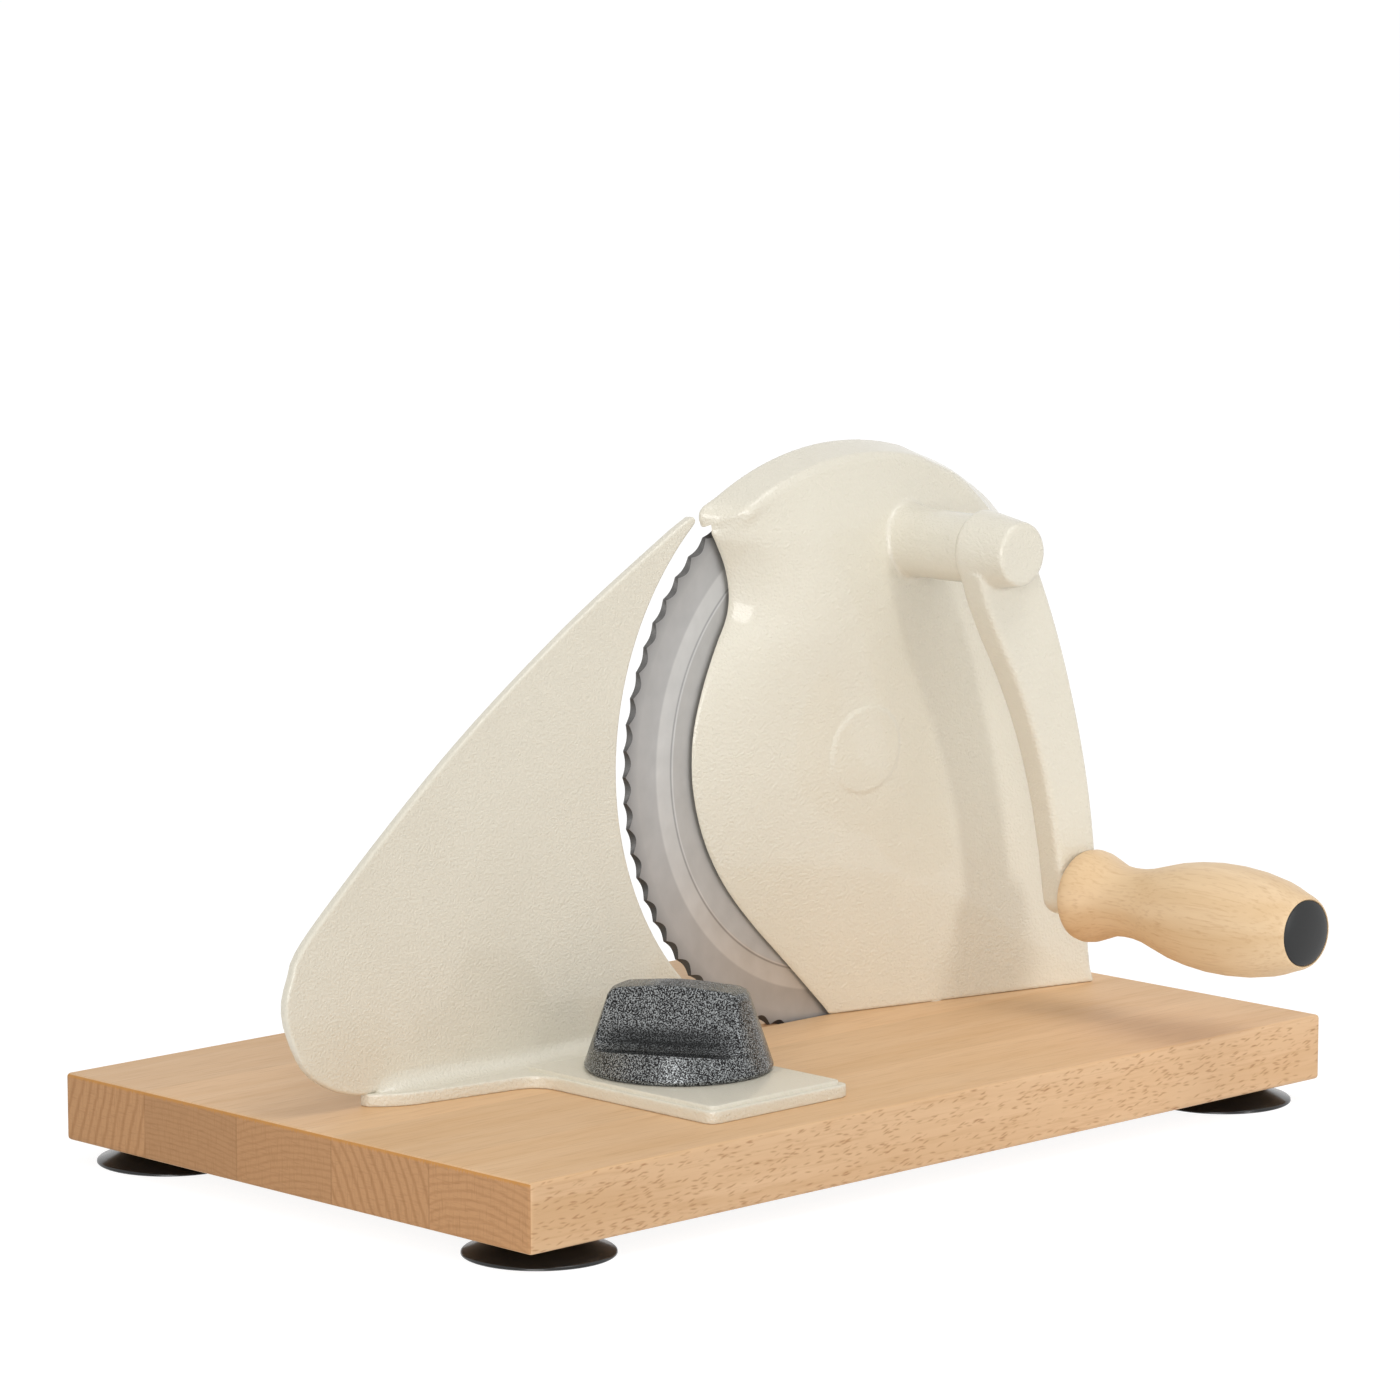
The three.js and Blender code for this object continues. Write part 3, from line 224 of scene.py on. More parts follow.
ring_radius = add(beech_end, "ShaderNodeVectorMath", {0: from_pith.outputs[0]}, operation="LENGTH")
log_parts = add(beech_end, "ShaderNodeSeparateColor", {"Color": log.outputs["Color"]})
ring_gap = reckon(beech_end, "MULTIPLY", log_parts.outputs["Blue"], widest_gap * mm / (2 * math.pi))
ring_turn = reckon(beech_end, "DIVIDE", ring_radius.outputs["Value"], ring_gap)
wander = add(beech_end, "ShaderNodeTexNoise", {"Vector": end_place, "Scale": 1 / (14 * mm), "Detail": 3.0})
ring_drift = reckon(beech_end, "MULTIPLY_ADD", wander.outputs[0], 6.0, ring_turn)
ring_share = ranged(beech_end, reckon(beech_end, "SINE", ring_drift), target=(0, 0.8))
ring_depth = reckon(beech_end, "MULTIPLY", ring_share, log_parts.outputs["Blue"])
end_tone = mix(beech_end, ring_depth, "#BC9067", "#93663E")
stave_level = ranged(beech_end, log.outputs["Alpha"], target=(0.8, 1.3))
end_stave = add(beech_end, "ShaderNodeHueSaturation", {"Value": stave_level, "Color": end_tone})
saw = noise(beech_end, end_place, (4, 0.7, 7), 2.0)
pore_rows = noise(beech_end, end_place, (4, 5, 0.6), 2.0)
weave = reckon(beech_end, "MAXIMUM", saw, pore_rows)
saw_share = ranged(beech_end, weave, (0.5, 0.8), (0, 0.35))
end_sawn = mix(beech_end, saw_share, end_stave.outputs[0], "#8E633C")
seam_share = ranged(beech_end, end_fract, (0, 0.016), (0.35, 0))
end_seamed = mix(beech_end, seam_share, end_sawn, "#7A5230")
fuzz_height = reckon(beech_end, "MULTIPLY_ADD", saw, 2.4 * mm, end_row.outputs["Z"])
fuzz_share = ranged(beech_end, fuzz_height, (board_top - 0.4 * mm, board_top + 0.4 * mm), (0, 0.8))
end_grain = mix(beech_end, fuzz_share, end_seamed, "#C98F4A")
end_shader.inputs["Roughness"].default_value = 0.66
end_shader.inputs["Specular IOR Level"].default_value = 0.25
wear(beech_end, end_shader, Base_Color=end_grain, Normal=dented(beech_end, weave, 0.3, 0.15))


def at(x, y, z):
    """A point given in millimetres from the board's middle, the blade's plane and the board's top."""
    return Vector((x * mm, y * mm + blade_plane, z * mm + board_top))


def turned(profile, centre, along, steps=64):
    """A bmesh of (radius, height) pairs in millimetres, closed and spun about an axis through the centre."""
    bm = bmesh.new()
    side = Vector((1, 0, 0))
    points = [centre + side * r * mm + along * h * mm for r, h in profile]
    verts = [bm.verts.new(p) for p in points]
    edges = [bm.edges.new(pair) for pair in zip(verts, verts[1:])]
    if profile[0][0] > 0:
        edges.append(bm.edges.new((verts[-1], verts[0])))
    bmesh.ops.spin(
        bm, geom=verts + edges, cent=centre, axis=along, angle=2 * math.pi, steps=steps, use_merge=True)
    bmesh.ops.remove_doubles(bm, verts=bm.verts, dist=1e-7)
    bmesh.ops.recalc_face_normals(bm, faces=bm.faces)
    return bm


def draw_out(bm, points, way):
    """Adds a face through the points and draws it out along a vector to a solid."""
    face = bm.faces.new([bm.verts.new(p) for p in points])
    grown = bmesh.ops.extrude_face_region(bm, geom=[face])["geom"]
    bmesh.ops.translate(bm, verts=[g for g in grown if isinstance(g, bmesh.types.BMVert)], vec=way)
    bmesh.ops.recalc_face_normals(bm, faces=bm.faces)


def slab(bm, outline, low, high):
    """Adds a lying plate from an outline in x and y between two heights above the board."""
    draw_out(bm, [at(p[0], p[1], low) for p in outline], up * (high - low) * mm)


def soft_corner(corner, before, after, radius, count=6):
    """Points that round the corner of an outline."""
    a = Vector(corner) + (Vector(before) - Vector(corner)).normalized() * radius
    c = Vector(corner) + (Vector(after) - Vector(corner)).normalized() * radius
    b = Vector(corner)
    shares = [i / count for i in range(count + 1)]
    return [a * (1 - t) ** 2 + b * (2 * t * (1 - t)) + c * t * t for t in shares]


def soft_outline(corners):
    """An outline whose corners, given as x, y and radius, are rounded."""
    made = []
    for i, (x, y, r) in enumerate(corners):
        before, after = corners[i - 1][:2], corners[(i + 1) % len(corners)][:2]
        made += soft_corner((x, y), before, after, r) if r else [Vector((x, y))]
    return made


def long_hole(half_width, half_length, travel=0):
    """A round-ended outline about the clamp's axis, longer by a travel at its near end."""
    x, y, r = clamp_axis.x, clamp_axis.y, half_width - 0.1
    near_end, far_end = y - half_length - travel, y + half_length
    return soft_outline((
        (x - half_width, near_end, r), (x + half_width, near_end, r),
        (x + half_width, far_end, r), (x - half_width, far_end, r)))


def settle(piece):
    """Makes a piece's modifiers part of its mesh."""
    shown = piece.evaluated_get(bpy.context.evaluated_depsgraph_get())
    mesh = bpy.data.meshes.new_from_object(shown)
    mesh.materials.clear()
    piece.modifiers.clear()
    piece.data = mesh


def carve(piece, operation, *tools):
    """Joins tools to a piece, or cuts them out of it."""
    for tool in tools:
        step = piece.modifiers.new("step", "BOOLEAN")
        step.operation = operation
        step.solver = "MANIFOLD"
        step.object = tool
    settle(piece)
    for tool in tools:
        bpy.data.objects.remove(tool)


def foot_of(node, height):
    """The middle of a CAD node as seen from above, at a height."""
    low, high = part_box(node)
    return Vector(((low.x + high.x) / 2, (low.y + high.y) / 2, height))


def pin(radius, low, high, centre, along=up, steps=24):
    """A plain round bar as an object, to be cut out of a piece or joined to it."""
    return piece_of(turned(((0, low), (radius, low), (radius, high), (0, high)), centre, along, steps), "pin")


board_mesh = bmesh.new()
bmesh.ops.create_cube(
    board_mesh, size=1, matrix=Matrix.LocRotScale((board_low + board_high) / 2, None, board_high - board_low))
bmesh.ops.bevel(
    board_mesh, geom=board_mesh.edges, offset=1.3 * mm, offset_type="OFFSET", segments=4, profile=0.5,
    affect="EDGES", material=-1)
planed = [f for f in board_mesh.faces if f.calc_area() > (15 * mm) ** 2]
bmesh.ops.inset_individual(board_mesh, faces=planed, thickness=0.5 * mm)
board = piece_of(board_mesh, "board_staves")
cuts = [pin(98.8, -2, 2, at(blade_axis.x, 0, blade_axis.y), near, 160)]
for half_width, half_length, low, high in ((5.1, 13.9, -25, 3), (10.1, 14.4, -25, -13)):
    slot_mesh = bmesh.new()
    slab(slot_mesh, long_hole(half_width, half_length, fence_travel), low, high)
    cuts.append(piece_of(slot_mesh, "clamp_slot"))
for corner in cup_corners:
    cuts.append(pin(2.3, -2, 12.3, foot_of("suction_cup_" + corner, board_low.z)))
for x, y in housing_screw_spots:
    stepped = turned(((0, -25), (4.6, -25), (4.6, -16), (2.3, -16), (2.3, 2), (0, 2)), at(x, y, 0), up, 24)
    cuts.append(piece_of(stepped, "screw_hole"))
carve(board, "DIFFERENCE", *cuts)
shade(board.data, 35)
for finish in (beech_face, beech_side, beech_end):
    board.data.materials.append(finish)
for face in board.data.polygons:
    way = [abs(c) for c in face.normal]
    face.material_index = (2, 1, 0)[way.index(max(way))]
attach(board, "base")
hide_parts("base_board")

# Suction cups
# Black rubber, moulded in one piece: a flat rim, a thin cone and a short neck against the board. A
# pan-head screw through the neck holds each cup.
cup_profile = (
    (2.3, 3.5), (5.6, 3.5), (6.2, 3.3), (14, 1.75), (21.2, 0.45), (22.6, 0.05), (23.5, 0.0), (23.8, 0.25),
    (23.75, 0.75), (23.3, 1.15), (17, 3.3), (12.1, 5.3), (11.0, 6.0), (10.6, 6.9), (2.3, 6.9),
)


def mottled(name, patch, detail, one_tone, other_tone):
    """A finish that drifts between two tones in patches of a size in millimetres, and its drift."""
    material, shader, place = new_finish(name)
    drift = add(material, "ShaderNodeTexNoise", {
        "Vector": place, "Scale": 1 / (patch * mm), "Detail": detail}).outputs[0]
    wear(material, shader, Base_Color=mix(material, drift, one_tone, other_tone))
    return material, shader, place, drift


# Moulded rubber: near black, smooth enough for a soft gloss, with the faint bloom of age.
rubber, rubber_shader, _, bloom = mottled("moulded black rubber", 6, 4.0, "#0C0C0D", "#19191A")
wear(rubber, rubber_shader, Roughness=ranged(rubber, bloom, target=(0.15, 0.3)),
     Normal=dented(rubber, bloom, 0.3, 0.1))

# Zinc-plated steel: pale grey metal with a faintly mottled satin sheen.
zinc, zinc_shader, _, spangle = mottled("zinc-plated steel", 1.5, 3.0, "#B7B9BA", "#989A9C")
zinc_shader.inputs["Metallic"].default_value = 1.0
wear(zinc, zinc_shader, Roughness=ranged(zinc, spangle, target=(0.26, 0.46)))


def merged_copy(name):
    """The mesh of a CAD node as a bmesh, with its loose triangles joined."""
    bm = bmesh.new()
    bm.from_mesh(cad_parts[name].data)
    bmesh.ops.remove_doubles(bm, verts=bm.verts, dist=1e-6)
    return bm


def steel_copy(node, body, finish, sharp=35):
    """A merged, smooth-shaded copy of a small CAD node in its place."""
    piece = piece_of(merged_copy(node), node + "_shown", sharp)
    piece.data.materials.append(finish)
    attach(piece, body)
    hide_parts(node)
    return piece


for corner in cup_corners:
    cup_foot = foot_of("suction_cup_" + corner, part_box("suction_cup_" + corner)[0].z)
    cup = piece_of(turned(cup_profile, cup_foot, up), "rubber_cup_" + corner, 50)
    cup.data.materials.append(rubber)
    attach(cup, "base")
    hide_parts("suction_cup_" + corner)
    steel_copy("cup_screw_" + corner, "base", zinc)

# Housing
# One aluminium casting, thin-walled and open towards the blade, with the crank's boss on its near side.
# It stands on the board and is held by screws from below; the ivory enamel softens every edge.
wall = 3.5
blade_side = 1.5
edge_depth = 2.8
crease_depth = 13.3
hood_radius = 115.3
crease_radius = 111.2
toe, far_heel, near_heel = 61.8, 171, 166.5
face_middle = Vector((85, 94.8))
hood_middle = Vector((67, 77.5))
crank_axis = Vector((82.9, 159.5))
crank_spot = at(crank_axis.x, 0, crank_axis.y)


def smooth_line(points, count, fine_steps=40):
    """Evenly spaced points on a soft line through the given ones, the last one left out."""
    path = [Vector(p) for p in points]
    path = [path[0] * 2 - path[1]] + path + [path[-1] * 2 - path[-2]]
    fine = []
    for a, b, c, d in zip(path, path[1:], path[2:], path[3:]):
        for i in range(fine_steps):
            t = i / fine_steps
            fine.append(0.5 * (2 * b + (c - a) * t + (2 * a - 5 * b + 4 * c - d) * t * t
                               + (3 * b - 3 * c + d - a) * t ** 3))
    fine.append(path[-2])
    lengths = [0.0]
    for a, b in zip(fine, fine[1:]):
        lengths.append(lengths[-1] + (b - a).length)
    made = []
    passed = 0
    for i in range(count):
        want = lengths[-1] * i / count
        while lengths[passed + 1] < want:
            passed += 1
        share = (want - lengths[passed]) / max(lengths[passed + 1] - lengths[passed], 1e-9)
        made.append(fine[passed].lerp(fine[passed + 1], share))
    return made


def hood_arc(radius, count, start=118.5, end=75.0):
    """Points on the arch of the hood from the nose towards the back."""
    angles = [math.radians(start + (end - start) * i / count) for i in range(count)]
    return [hood_middle + radius * Vector((math.cos(a), math.sin(a))) for a in angles]


def inwards(point, distance):
    """A point moved towards the middle of the face."""
    way = face_middle - point
    return point + way * (distance / way.length)


def swell(share):
    """A share from 0 to 1 that starts and ends softly."""
    share = min(max(share, 0), 1)
    return share * share * (3 - 2 * share)


front = smooth_line((
    (toe, 0), (41.2, 20), (24.5, 36), (11.5, 51), (2.5, 67), (-2.3, 84.5), (-2.2, 101), (2, 116), (8, 129.5),
    (13, 138.8), (14.2, 147), (12.3, 156), (8.3, 164.1), (6.1, 167.6)), 66)
far_nose = smooth_line((
    (6.1, 167.6), (4.4, 170), (3.6, 172.6), (5, 175.6), hood_arc(hood_radius, 1)[0]), 12)
near_nose = smooth_line((
    (6.1, 167.6), (8.2, 169.3), (10.6, 171), (12.6, 173.2), hood_arc(crease_radius, 1)[0]), 12)
far_back = smooth_line(
    ((96.84, 188.87), (125.4, 176.8), (149, 157.8), (163, 120.8), (167.5, 78.8), (far_heel, 0)), 44)
near_back = smooth_line(
    ((95.7, 184.9), (118, 172.8), (146.5, 136.8), (159, 102.8), (163, 50.8), (near_heel, 0)), 44)
far_foot = [Vector((far_heel + (toe - far_heel) * i / 24, 0)) for i in range(24)]
near_foot = [Vector((near_heel + (toe - near_heel) * i / 24, 0)) for i in range(24)]
far_line = front + far_nose + hood_arc(hood_radius, 36) + far_back + far_foot
near_line = front + near_nose + hood_arc(crease_radius, 36) + near_back + near_foot


def edge_at(line, height):
    """Where a line that climbs or falls steadily crosses a height."""
    for a, b in zip(line, line[1:]):
        if min(a.y, b.y) <= height <= max(a.y, b.y):
            return a.x + (b.x - a.x) * (height - a.y) / (b.y - a.y or 1)
    return min(line, key=lambda p: abs(p.y - height)).x


def face_level(point):
    """Depth of the near face: quick to rise from the thin front edge, then slow, and out again to the lip."""
    left = edge_at(front, point.y)
    width = edge_at(near_back, point.y) - left
    neck = swell((point.y - blade_axis.y) / 56.2)
    belly = 28.5 * swell(point.y / crank_axis.y)
    ease = 45 - 25 * neck
    back_depth = 26 - 12.7 * point.y / 184.9
    slope = (back_depth - edge_depth - belly * (1 - math.exp(-width / ease))) / width
    run = max(point.x - left, 0)
    level = edge_depth + belly * (1 - math.exp(-run / ease)) + slope * run
    below_crease = max(crease_radius - (point - hood_middle).length, 0)
    lip = edge_depth + (crease_depth - edge_depth) * swell((point.x - 5) / 10.5)
    flow = max(lip - level, 0) * math.exp(-max(below_crease - 1.5, 0) / 3.5)
    return level + neck * (flow - max(level - crease_depth, 0) * math.exp(-below_crease / 18))


def lofted(loops):
    """A closed bmesh through loops of points in millimetres, each with the same number of points."""
    bm = bmesh.new()
    last = None
    for loop in loops:
        verts = [bm.verts.new(Vector(p) * mm) for p in loop]
        edges = [bm.edges.new((a, b)) for a, b in zip(verts, verts[1:] + verts[:1])]
        if last is None:
            bm.faces.new(verts)
        else:
            bmesh.ops.bridge_loops(bm, edges=last + edges)
        last = edges
    bmesh.ops.contextual_create(bm, geom=last)
    bmesh.ops.recalc_face_normals(bm, faces=bm.faces)
    return bm


def housing_skin(inset, far):
    """The casting's outside, or with an inset its hollow, lofted from the blade's side to the near face."""
    outer = [inwards(p, inset) for p in far_line]
    crease = [inwards(p, inset) for p in near_line]
    deep = [face_level(p) - inset for p in near_line]
    turn = [min(1.3, max(d, 0) / 3) if p.y > 1 else 0 for p, d in zip(near_line, deep)]
    rim = [inwards(p, r) if r > 0 else p for p, r in zip(crease, turn)]
    loops = [
        [(p.x, far, p.y) for p in (inwards(o, 1.1) for o in outer)],
        [(p.x, far - 0.3, p.y) for p in (inwards(o, 0.35) for o in outer)],
        [(o.x, far - 1.1, o.y) for o in outer],
    ]
    waist = [o.lerp(c, 0.8) if d > r else o for o, c, d, r in zip(outer, crease, deep, turn)]
    loops.append([(p.x, r - d, p.y) for p, d, r in zip(waist, deep, turn)])
    shoulder = [c.lerp(m, 0.3) for c, m in zip(crease, rim)]
    loops.append([(p.x, 0.3 * r - d, p.y) for p, d, r in zip(shoulder, deep, turn)])
    for step in (0.0, 0.03, 0.06, 0.1, 0.15, 0.2, 0.26, 0.33, 0.41, 0.5, 0.6, 0.71, 0.83, 0.94):
        ring = [m.lerp(face_middle, step) for m in rim]
        loops.append([(p.x, inset - face_level(p), p.y) for p in ring])
    skin = lofted(loops)
    bmesh.ops.translate(skin, verts=skin.verts, vec=(0, blade_plane, board_top))
    return skin


def soften(piece, grain, passes):
    """Rounds a piece's edges and hollows as a casting and its paint do, by a fine new skin and smoothing."""
    skin = piece.modifiers.new("skin", "REMESH")
    skin.mode = "VOXEL"
    skin.voxel_size = grain * mm
    ease = piece.modifiers.new("ease", "SMOOTH")
    ease.factor = 0.5
    ease.iterations = passes
    settle(piece)
    piece.data.shade_smooth()


def united(name, *parts):
    """One object that holds several closed meshes, to be made one skin."""
    whole = bmesh.new()
    for part in parts:
        scrap = bpy.data.meshes.new("scrap")
        part.to_mesh(scrap)
        part.free()
        whole.from_mesh(scrap)
        bpy.data.meshes.remove(scrap)
    return piece_of(whole, name)


boss_mesh = turned((
    (0, 50.1), (10.6, 50.1), (11.2, 49.8), (11.4, 49.2), (11.6, 26), (11.8, 23), (12.1, 20.5), (12.6, 18.5),
    (13.2, 16.5), (13.6, 14), (13.6, 12), (0, 12)), crank_spot, near)
housing = united("housing_casting", housing_skin(0, blade_side), boss_mesh)
soften(housing, 0.7, 5)
carve(housing, "DIFFERENCE", piece_of(housing_skin(wall, blade_side + 2.5), "hollow"))
carve(housing, "UNION", *(pin(4.6, 0, 20, at(x, y, 0)) for x, y in housing_screw_spots))
blade_recess = pin(98.6, -4, 2.4, at(blade_axis.x, 0, blade_axis.y), near, 160)
carve(housing, "DIFFERENCE", blade_recess, pin(6.8, 3, 52, crank_spot, near, 64))
shade(housing.data, 40)
pad_middle = at(64.6, 0, 91.2)
pad_radius, pad_rise, pad_ramp = 15.2 * mm, 0.5 * mm, 1.2 * mm
for vert in housing.data.vertices:
    reach = math.hypot(vert.co.x - pad_middle.x, vert.co.z - pad_middle.z)
    if reach < pad_radius and vert.normal.y < -0.5 and vert.co.y < blade_plane - 8 * mm:
        vert.co.y -= pad_rise * swell((pad_radius - reach) / pad_ramp)

# Ivory enamel, sprayed and stoved: warm off-white with a semi-gloss skin and a fine orange peel.
ivory, ivory_shader, ivory_place, cloud = mottled("ivory enamel", 40, 3.0, "#E7E2D3", "#DFD9C9")
peel = add(ivory, "ShaderNodeTexNoise", {"Vector": ivory_place, "Scale": 1 / (0.9 * mm), "Detail": 2.0})
ivory_shader.inputs["Coat Weight"].default_value = 0.6
ivory_shader.inputs["Coat Roughness"].default_value = 0.07
wear(ivory, ivory_shader, Roughness=ranged(ivory, cloud, target=(0.32, 0.42)),
     Normal=dented(ivory, peel.outputs[0], 1.0, 0.42))
housing.data.materials.append(ivory)
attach(housing, "base")
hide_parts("housing")
for number in (1, 2, 3):
    steel_copy(f"housing_screw_{number}", "base", zinc)

# Blade axle and gear
# A steel stud in the housing with a bronze bush on it, and a moulded nylon gear whose hub carries the
# blade. A spring clip keeps the hub on the stud.

# Bearing bronze, turned: a brownish yellow metal with a soft sheen, mottled by oil.
bronze, bronze_shader = mottled("turned bearing bronze", 2, 3.0, "#B58A4C", "#96703A")[:2]
bronze_shader.inputs["Metallic"].default_value = 1.0
bronze_shader.inputs["Roughness"].default_value = 0.38

# Natural nylon, moulded: milky and matt, with faint clouds where the melt flowed.
nylon, nylon_shader = mottled("moulded natural nylon", 9, 3.0, "#ECE8DC", "#DDD7C6")[:2]
nylon_shader.inputs["Roughness"].default_value = 0.5

steel_copy("axle_stud", "base", zinc)
steel_copy("axle_clip", "base", zinc)
steel_copy("axle_bush", "cutter", bronze)
steel_copy("blade_gear", "cutter", nylon, 25)

# Blade
# Stainless sheet, stamped with a row of scallops round its edge. Each scallop is hollow ground from the
# near side, and the face steps up towards the middle in two turned rings.
blade_middle = (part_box("blade")[0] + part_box("blade")[1]) / 2
blade_middle.y = blade_plane
blade_radius = 95.8
far_face = 0.6
hub_hole = 7.7
scallops = 70
steps_each = 10


def set_ring(vert, radius, hollow, y):
    """Puts a vertex on a ring at its own angle, drawn in by the hollow of each scallop."""
    x, z = vert.co.x - blade_middle.x, vert.co.z - blade_middle.z
    turn = math.atan2(z, x)
    part = (turn / (2 * math.pi) * scallops) % 1.0
    reach = (radius - hollow * math.sin(math.pi * part)) * mm
    vert.co = blade_middle + Vector((reach * math.cos(turn), y * mm, reach * math.sin(turn)))


def blade_edge(bm, edges, radius, hollow, y):
    """Draws the next ring of the blade out of the last one's edges."""
    made = bmesh.ops.extrude_edge_only(bm, edges=edges)["geom"]
    for vert in (g for g in made if isinstance(g, bmesh.types.BMVert)):
        set_ring(vert, radius, hollow, y)
    return [g for g in made if isinstance(g, bmesh.types.BMEdge) and g.is_boundary]


blade_mesh = bmesh.new()
bmesh.ops.create_circle(
    blade_mesh, cap_ends=False, segments=scallops * steps_each, radius=blade_radius * mm,
    matrix=Matrix.Translation(blade_middle) @ Matrix.Rotation(math.pi / 2, 4, "X"))
for vert in blade_mesh.verts:
    set_ring(vert, blade_radius, 1.1, far_face)
rim_edges = list(blade_mesh.edges)
far_edges = rim_edges
for radius in (90, hub_hole):
    far_edges = blade_edge(blade_mesh, far_edges, radius, 0, far_face)
near_edges = rim_edges
for radius, hollow, y in (
    (95.6, 1.3, 0.35), (95.4, 2.3, -0.6), (91, 0, -0.6), (82.8, 0, -0.62), (81.6, 0, -0.9), (75.9, 0, -0.92),
    (75.5, 0, -1.06), (75.1, 0, -1.18), (74.4, 0, -1.2), (14, 0, -1.2), (13.6, 0, -0.62), (hub_hole, 0, -0.6),
):
    near_edges = blade_edge(blade_mesh, near_edges, radius, hollow, y)
bmesh.ops.bridge_loops(blade_mesh, edges=far_edges + near_edges)
bmesh.ops.recalc_face_normals(blade_mesh, faces=blade_mesh.faces)
blade = piece_of(blade_mesh, "scalloped_blade", 22)

# Satin stainless steel: ground in circles, so fine rings show, with a slightly duller band at the edge.
# The bright and dark lines on the face's two turned steps are painted highlight and painted shade.
stainless, stainless_shader, stainless_place = new_finish("ring-ground stainless steel")
from_axis = add(stainless, "ShaderNodeMapping", {
    "Vector": stainless_place, "Location": (-blade_middle.x, 0, -blade_middle.z), "Scale": (1, 0, 1)})
ring_reach = add(stainless, "ShaderNodeVectorMath", {0: from_axis.outputs[0]}, operation="LENGTH")
grind = add(stainless, "ShaderNodeTexNoise", {
    "W": ring_reach.outputs["Value"], "Scale": 1 / (0.8 * mm), "Detail": 3.0}, noise_dimensions="1D")
first_ring, last_ring = 70, 96
band_place = ranged(stainless, ring_reach.outputs["Value"], (first_ring * mm, last_ring * mm))
ring_tones_with_painted_step_lines = add(stainless, "ShaderNodeValToRGB", {"Fac": band_place})
ring_tones_with_painted_step_lines.color_ramp.elements[0].color = linear("#BAB9B7")
ring_tones_with_painted_step_lines.color_ramp.elements[1].color = linear("#8E8D8D")
# Painted highlight and shade: a bright line and a dark line where the face steps up near 75 and 82 mm.
for reach, code in (
    (74.7, "#BBBAB8"), (75.1, "#CECDCC"), (75.6, "#979695"), (76.1, "#C4C3C1"),
    (81.7, "#CAC9C7"), (82.3, "#B6B5B4"), (90, "#B4B3B2"), (93, "#A5A4A4"),
):
    mark = ring_tones_with_painted_step_lines.color_ramp.elements.new((reach - first_ring) / (last_ring - first_ring))
    mark.color = linear(code)
smear = noise(stainless, stainless_place, (7, 1000, 9), 5.0)
smear_level = ranged(stainless, smear, (0.3, 0.7), (0.95, 1.07))
steel_tone = add(stainless, "ShaderNodeHueSaturation", {
    "Value": smear_level, "Color": ring_tones_with_painted_step_lines.outputs["Color"]})
mottle = reckon(stainless, "MULTIPLY_ADD", grind.outputs[0], 0.5, smear)
stainless_shader.inputs["Metallic"].default_value = 0.7
wear(stainless, stainless_shader, Base_Color=steel_tone.outputs[0],
     Roughness=ranged(stainless, mottle, (0, 1.5), (0.42, 0.6)),
     Normal=dented(stainless, grind.outputs[0], 0.12, 0.05))

# Hollow-ground steel: each half moon is left duller than the face, with short streaks. Its dark grey
# colour is painted shade for the dark crescents that the hollows show.
ground, ground_shader, ground_place = new_finish("hollow-ground stainless steel")
streak = noise(ground, ground_place, (0.3, 2, 0.3), 2.0)
ground_shader.inputs["Metallic"].default_value = 0.7
ground_shader.inputs["Roughness"].default_value = 0.5
# Painted shade: the half moons are coloured dark grey.
wear(ground, ground_shader, Base_Color=mix(ground, streak, "#6A6968", "#4A4948"))
blade.data.materials.append(stainless)
blade.data.materials.append(ground)
for face in blade.data.polygons:
    from_middle = (face.center - blade_middle).length
    face.material_index = 1 if from_middle > 91.5 * mm and -0.97 < face.normal.y < -0.1 else 0
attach(blade, "cutter")
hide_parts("blade")
steel_copy("blade_screw", "cutter", zinc)

# Crank shaft
# A steel shaft in two bronze bushes, with the pinion and its spring clip at the far end, all hidden in the
# housing and its boss.
for node in ("crank_bush_inner", "crank_bush_outer"):
    steel_copy(node, "base", bronze)
for node in ("crank_shaft", "crank_clip", "crank_pinion"):
    steel_copy(node, "crank", zinc, 25)

# Crank arm
# Cast with its hub in one piece and enamelled like the housing: a sickle-shaped arm that narrows towards
# the handle. A grub screw in the hub's right side holds it on the shaft.
handle_axis = Vector((123.55, 40.77))
arm_back = 50.6
arm_front = 60.6
arm_line = handle_axis - crank_axis
arm_way = arm_line.normalized()
arm_bend = crank_axis + arm_line / 2 + Vector((-arm_way.y, arm_way.x)) * 14
tip_reach, tip_half, tip_shift = 7.3, 9.05, -1.15


def arm_side(sign, widths):
    """One long edge of the arm, from the hub to the handle."""
    halves = smooth_line(widths, 24) + [Vector(widths[-1])]
    made = []
    for t, half in halves:
        middle = crank_axis * (1 - t) ** 2 + arm_bend * (2 * t * (1 - t)) + handle_axis * t * t
        run = ((arm_bend - crank_axis) * (1 - t) + (handle_axis - arm_bend) * t).normalized()
        made.append(middle + Vector((-run.y, run.x)) * sign * half)
    return made


end_run = (handle_axis - arm_bend).normalized()
end_turn = math.atan2(end_run.y, end_run.x)
arm_end = []
for i in range(1, 16):
    turn = -math.pi / 2 + math.pi * i / 16
    tip = Vector((tip_reach * math.cos(turn), tip_half * math.sin(turn) + tip_shift))
    arm_end.append(handle_axis + Matrix.Rotation(end_turn, 2) @ tip)
arm_left = arm_side(-1, ((0, 13.2), (0.1, 15), (0.2, 15), (0.34, 13.5), (0.5, 12), (0.7, 10.9), (1, 10.2)))
arm_right = arm_side(1, ((0, 12.6), (0.2, 11.6), (0.48, 10), (0.7, 9.2), (1, 7.9)))
arm_outline = arm_left + arm_end + arm_right[::-1]


def plate(outline, back, front):
    """A bmesh plate from an upright outline in x and z, between two distances from the blade's plane."""
    bm = bmesh.new()
    draw_out(bm, [at(p.x, -back, p.y) for p in outline], near * (front - back) * mm)
    return bm


